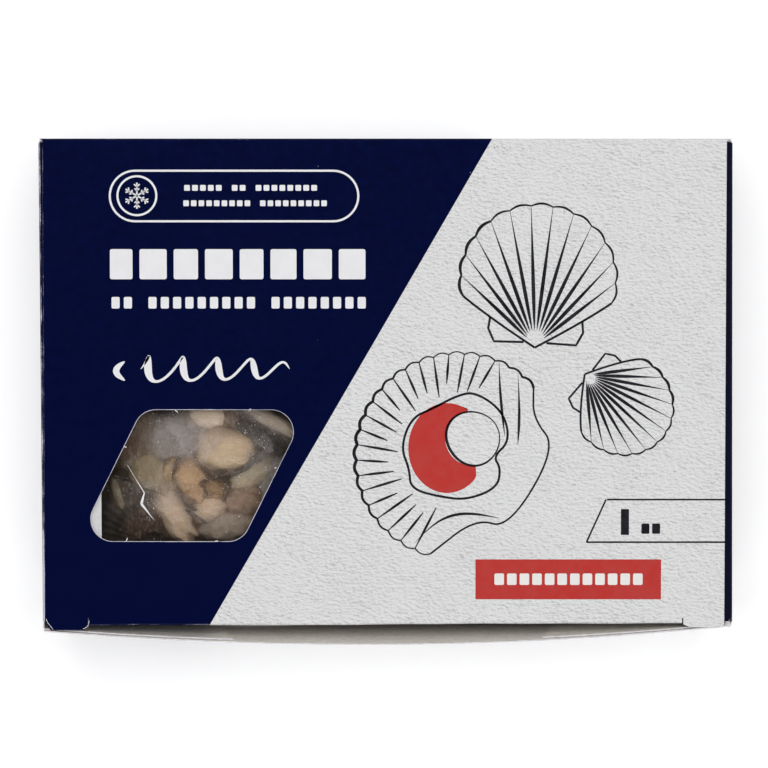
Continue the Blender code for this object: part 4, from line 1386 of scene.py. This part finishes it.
def bag_plan(shrink, columns, rows):
    """A grid over the bag in plan: u and v from -1 to 1, and x and y in metres, shrunk at each side."""
    u, v = np.meshgrid(np.linspace(-1, 1, columns), np.linspace(-1, 1, rows))
    return u, v, BAG_MIDDLE[0] + u * (BAG_HALF[0] - shrink), BAG_MIDDLE[1] + v * (BAG_HALF[1] - shrink)


def pillow_piece(name, x, y, upper, lower, made):
    """A closed pillow of two grids that share their rim."""
    grids = [np.stack([x, y, upper], axis=2), np.stack([x, y, lower], axis=2)[:, ::-1]]
    return soft_mesh(name, [(grid, CORE_SHADE_TINT) for grid in grids], made)


u, v, x, y = bag_plan(0.006, 60, 44)
pillow_piece("frozen_core", x, y, *pillow(u, v, 0.003, 0.0435), shell_material)

# --- The film bag ---------------------------------------------------------------------------------
# Clear polythene drawn down over the scallops. Frost clouds its inside in patches, a sharp fold in it
# carries a painted highlight, and ice grains cling to it.

FILM_GAP, FILM_SHRINK = 0.0004, 0.0004
FILM_CLEAR = 0.0003  # how far fold and grains lie over the film's smoothed height
FILM_COLUMNS, FILM_ROWS = 260, 180
FILM_EDGE_TOP = 0.0490  # the film's height where nothing lifts it
HEAP_FLOOR = 0.0450
RIM_SLOPE = 9  # how fast the drape fades out towards the seam
film_half = BAG_HALF[:2] - FILM_SHRINK


def film_cell(xy):
    """Column and row of the film's grid point that is nearest to each point in plan."""
    last = np.array([FILM_COLUMNS - 1, FILM_ROWS - 1])
    at = np.round((xy - BAG_MIDDLE[:2] + film_half) / (2 * film_half) * last)
    at = np.clip(at.astype(int), 0, last)
    return at[..., 1], at[..., 0]


def softened(level, passes):
    """The level averaged with its four neighbours, again and again."""
    for _ in range(passes):
        wide = np.pad(level, [(1, 1), (1, 1)] + [(0, 0)] * (level.ndim - 2), mode="edge")
        level = (wide[:-2, 1:-1] + wide[2:, 1:-1] + wide[1:-1, :-2] + wide[1:-1, 2:] + 4 * level) / 8
    return level


# The contents' height and colour on the film's grid: the highest point in each cell counts. Where no
# piece lies the colour is a dark painted shade.
heap = [(grid.reshape(-1, 3), np.broadcast_to(tint, grid.shape).reshape(-1, 3))
        for grid, tint in shell_pieces + mantles + meats + roes]
heap_points, heap_tints = (np.concatenate([pair[k] for pair in heap]) for k in (0, 1))
heap_height = np.full((FILM_ROWS, FILM_COLUMNS), HEAP_FLOOR)
np.maximum.at(heap_height, film_cell(heap_points[:, :2]), heap_points[:, 2])
heap_colour = np.full((FILM_ROWS, FILM_COLUMNS, 3), 0.03)
order = np.argsort(heap_points[:, 2])
heap_colour[film_cell(heap_points[order, :2])] = heap_tints[order]
heap_colour = softened(heap_colour, 12)

# The film is stretched over the contents' tops and sags between them, with narrow wrinkles.
u, v, x, y = bag_plan(FILM_SHRINK, FILM_COLUMNS, FILM_ROWS)
film_top, film_low = pillow(u, v, float(BAG_LOW[2]), FILM_EDGE_TOP)
drape = heap_height
for _ in range(4):
    drape = np.maximum(softened(drape, 5), heap_height)
drape = np.maximum(softened(drape, 3), heap_height) + FILM_GAP
wrinkles = 0.00012 * np.abs(np.sin(x * 420 + y * 160 + 2 * np.sin(y * 260))) ** 3
wrinkles += 0.00025 * np.abs(np.sin((x * 0.8 + y) * 210 + 2 * np.sin(x * 120))) ** 8
near_seam = np.clip((1 - np.abs(u)) * RIM_SLOPE, 0, 1) * np.clip((1 - np.abs(v)) * RIM_SLOPE, 0, 1)
film_top += near_seam * (np.maximum(drape, film_top) + wrinkles - film_top)

film_material, tree = new_material("frosted_film", Roughness=0.16)
place = object_place(tree)
frost = painted(tree, "frost")["Fac"]
cloud = noise(tree, place, 260, detail=5.0, roughness=0.6, distortion=0.4)
needle = noise(tree, place, 1900, detail=3.0, distortion=1.2)
haze = times(tree, frost, ramp(tree, cloud, 0.28, 0.72, 0.55, 1.15))
crystal = times(tree, ramp(tree, needle, 0.56, 0.72), ramp(tree, frost, 0.08, 0.5))
patches = ramp(tree, noise(tree, place, 110, detail=2.0), 0.50, 0.64)
small, large = (
    use_group(tree, dust, {"Vector": place, "Scale": scale, "Share": share, "Size": size})["Mask"]
    for scale, share, size in ((1100.0, 0.34, 0.24), (430.0, 0.26, 0.14)))
grains = maths(tree, "MAXIMUM", times(tree, small, patches), large)
facing = add_node(tree, "ShaderNodeLayerWeight", {"Blend": 0.22}).outputs["Facing"]
cover = plus(tree, times(tree, haze, 0.45), times(tree, crystal, 0.10))
sight = plus(tree, plus(tree, cover, ramp(tree, cloud, 0.3, 0.7, 0.14, 0.34)), times(tree, facing, 0.30))
sight = maths(tree, "MAXIMUM", sight, times(tree, grains, 0.85))
clamped = add_node(tree, "ShaderNodeClamp", {"Value": sight, "Min": 0.05, "Max": 0.92}).outputs[0]
# The film's colour is a painted image of the contents under it, standing in for light through its frost.
below = mix(tree, 0.07, painted(tree, "tint")["Color"], (0.62, 0.48, 0.38, 1))
milky = mix(tree, times(tree, haze, 0.70), below, (0.40, 0.35, 0.34, 1))
milky = mix(tree, times(tree, crystal, 0.35), milky, (0.70, 0.70, 0.73, 1))
uneven = plus(tree, cloud, times(tree, needle, 0.4))
shade(tree, Alpha=clamped, Base_Color=mix(tree, grains, milky, (0.85, 0.85, 0.86, 1)),
      Roughness=ramp(tree, cover, 0.0, 0.5, 0.14, 0.42), Normal=bump(tree, uneven, 0.5, 0.0005))

film = pillow_piece("bag_film", x, y, film_top, film_low, film_material)
where = np.empty(len(film.data.vertices) * 3, np.float32)
film.data.vertices.foreach_get("co", where)
where = where.reshape(-1, 3)
tints = np.column_stack([heap_colour[film_cell(where[:, :2])], np.ones(len(where))])
film.data.attributes["tint"].data.foreach_set("color", tints.astype(np.float32).ravel())
# Frost clouds as x, y, reach across, reach along, strength
CLOUDS = [
    (-0.0745, -0.0150, 0.010, 0.009, 0.85), (-0.0640, -0.0180, 0.007, 0.006, 0.50),
    (-0.0440, -0.0180, 0.009, 0.008, 0.20), (-0.0400, -0.0260, 0.006, 0.010, 0.45),
    (-0.0690, -0.0400, 0.007, 0.006, 0.30), (-0.0560, -0.0460, 0.012, 0.006, 0.35),
    (-0.0800, -0.0360, 0.007, 0.007, 0.40), (-0.0480, -0.0070, 0.010, 0.004, 0.40),
    (-0.0600, -0.0180, 0.009, 0.007, 0.22),
]
THIN_FROST = 0.06
amount = np.full(len(where), THIN_FROST)
for cx, cy, rx, ry, strength in CLOUDS:
    amount += strength * np.exp(-((where[:, 0] - cx) / rx) ** 2 - ((where[:, 1] - cy) / ry) ** 2)
attribute = film.data.attributes.new("frost", "FLOAT", "POINT")
attribute.data.foreach_set("value", np.clip(amount, 0, 1).astype(np.float32))
film_level = softened(film_top, 6)

# A sharp fold in the film, bent like a flash, stands up; its near-white colour is a painted highlight.
fold_highlight_material, tree = new_material("film_fold_highlight", Roughness=0.2, Coat_Weight=0.6)
shine = noise(tree, object_place(tree), 500, detail=2.0)
shade(tree, Base_Color=mix(tree, shine, (0.95, 0.95, 0.96, 1), (0.80, 0.80, 0.82, 1)))


def on_film(flat, lift):
    """Points just over the film, at the height of the contents there."""
    return grid_points(flat[..., 0], flat[..., 1], film_level[film_cell(flat)] + FILM_CLEAR + lift)


FLASH = np.array([(-0.0905, -0.0260), (-0.0846, -0.0357), (-0.0857, -0.0396), (-0.0811, -0.0455)])
FLASH_WIDTHS = ((0.00006, 0.00018), (0.00016, 0.00050), (0.00046, 0.00003))
step = np.linspace(0, 1, 10)
legs = [stroke(between(a, b, step), wide_a + (wide_b - wide_a) * step)
        for a, b, (wide_a, wide_b) in zip(FLASH[:-1], FLASH[1:], FLASH_WIDTHS)]
print_piece("film_fold_highlight", legs, fold_highlight_material, on_film, "scallop_bag")

# Ice grains cling to the film in clusters: x, y, spread and how many.
ICE = [
    (-0.0796, -0.0113, 0.0015, 16), (-0.0741, -0.0079, 0.0012, 12), (-0.0786, -0.0193, 0.0003, 3),
    (-0.0473, -0.0103, 0.0024, 22), (-0.0423, -0.0163, 0.0024, 22), (-0.0487, -0.0238, 0.0020, 18),
    (-0.0891, -0.0338, 0.0018, 16), (-0.0821, -0.0392, 0.0015, 14), (-0.0839, -0.0447, 0.0008, 8),
    (-0.0552, -0.0342, 0.0008, 8), (-0.0632, -0.0313, 0.0010, 6), (-0.0560, -0.0200, 0.0120, 30),
]
grains = []
for cx, cy, spread, count in ICE:
    for x, y in scatter.normal((cx, cy), spread, (count, 2)):
        width, height = scatter.uniform(0.00008, 0.00026, 2)
        grains.append(bar(x, y, width, height, 0.0, scatter.uniform(-0.6, 0.6)))
ice_material, tree = new_material("ice_grains", Roughness=0.2, Coat_Weight=0.5)
cloudy = ramp(tree, noise(tree, object_place(tree), 3000, detail=2.0), 0.35, 0.65)
shade(tree, Base_Color=mix(tree, cloudy, (0.42, 0.42, 0.45, 1), (0.90, 0.90, 0.92, 1)))
print_piece("ice_grains", grains, ice_material, on_film, "scallop_bag")

# White fibres stand out where the die has torn the board: at the window (x, y, length, angle) and along
# the two hook cuts.
WINDOW_FIBRES = [
    (-0.0727, -0.0066, 0.0013, 2.4), (-0.0905, -0.0190, 0.0011, 2.9), (-0.0900, -0.0512, 0.0013, 1.2),
    (-0.0473, -0.0061, 0.0009, 0.6), (-0.0590, -0.0517, 0.0011, 0.1), (-0.0385, -0.0263, 0.0008, 0.5),
]
HOOK_FIBRES = [
    ((-0.1182, -0.0788), (-0.1178, -0.0800), (-0.1168, -0.0812), (-0.1158, -0.0826)),
    ((-0.1033, -0.0795), (-0.1034, -0.0808), (-0.1042, -0.0818), (-0.1054, -0.0823)),
]
FIBRE_WIDTH = 0.00008
step = np.linspace(-0.5, 0.5, 7)
hairs = []
for x, y, length, angle in WINDOW_FIBRES:
    way = polar(length, np.array(angle))
    across = np.array([-way[1], way[0]])
    bowed = np.array([x, y]) + way * step[:, None] + across * (0.3 * step**2)[:, None]
    hairs.append(stroke(bowed, FIBRE_WIDTH * (1 + np.cos(math.pi * step))))
hairs += [stroke(cut_corners(np.array(curve), 3), FIBRE_WIDTH) for curve in HOOK_FIBRES]
print_piece("torn_fibres", hairs, white_ink)

# The right wall's front corner is bruised, so that its white pulp shows in a narrow wedge.
WEDGE_RIGHT = WALL_RIGHT_FRONT - 0.0006
WEDGE_DROP, WEDGE_SLOPE, WEDGE_LIFT = 0.0006, 0.5, 6
wedge_y = np.linspace(-0.0735, -0.0818, 12)
wedge_in = WALL_RIGHT_FRONT - 0.0014 - 0.0011 * smooth_step(-wedge_y, 0.0735, 0.0810)
wedge_out = WALL_RIGHT_FRONT - 0.0012 + 0.0004 * smooth_step(-wedge_y, 0.0785, 0.0815)


def in_corner(flat, lift):
    """Points on a wedge that slopes down from the right wall's rim into the open front corner."""
    z = LID_Z - WEDGE_DROP - WEDGE_SLOPE * np.maximum(0, WEDGE_RIGHT - flat[..., 0])
    return grid_points(flat[..., 0], flat[..., 1], z + lift * WEDGE_LIFT)


wedge = np.stack([np.column_stack([wedge_out, wedge_y]), np.column_stack([wedge_in, wedge_y])], axis=1)
print_piece("bruised_corner", [wedge], board_edge, in_corner)
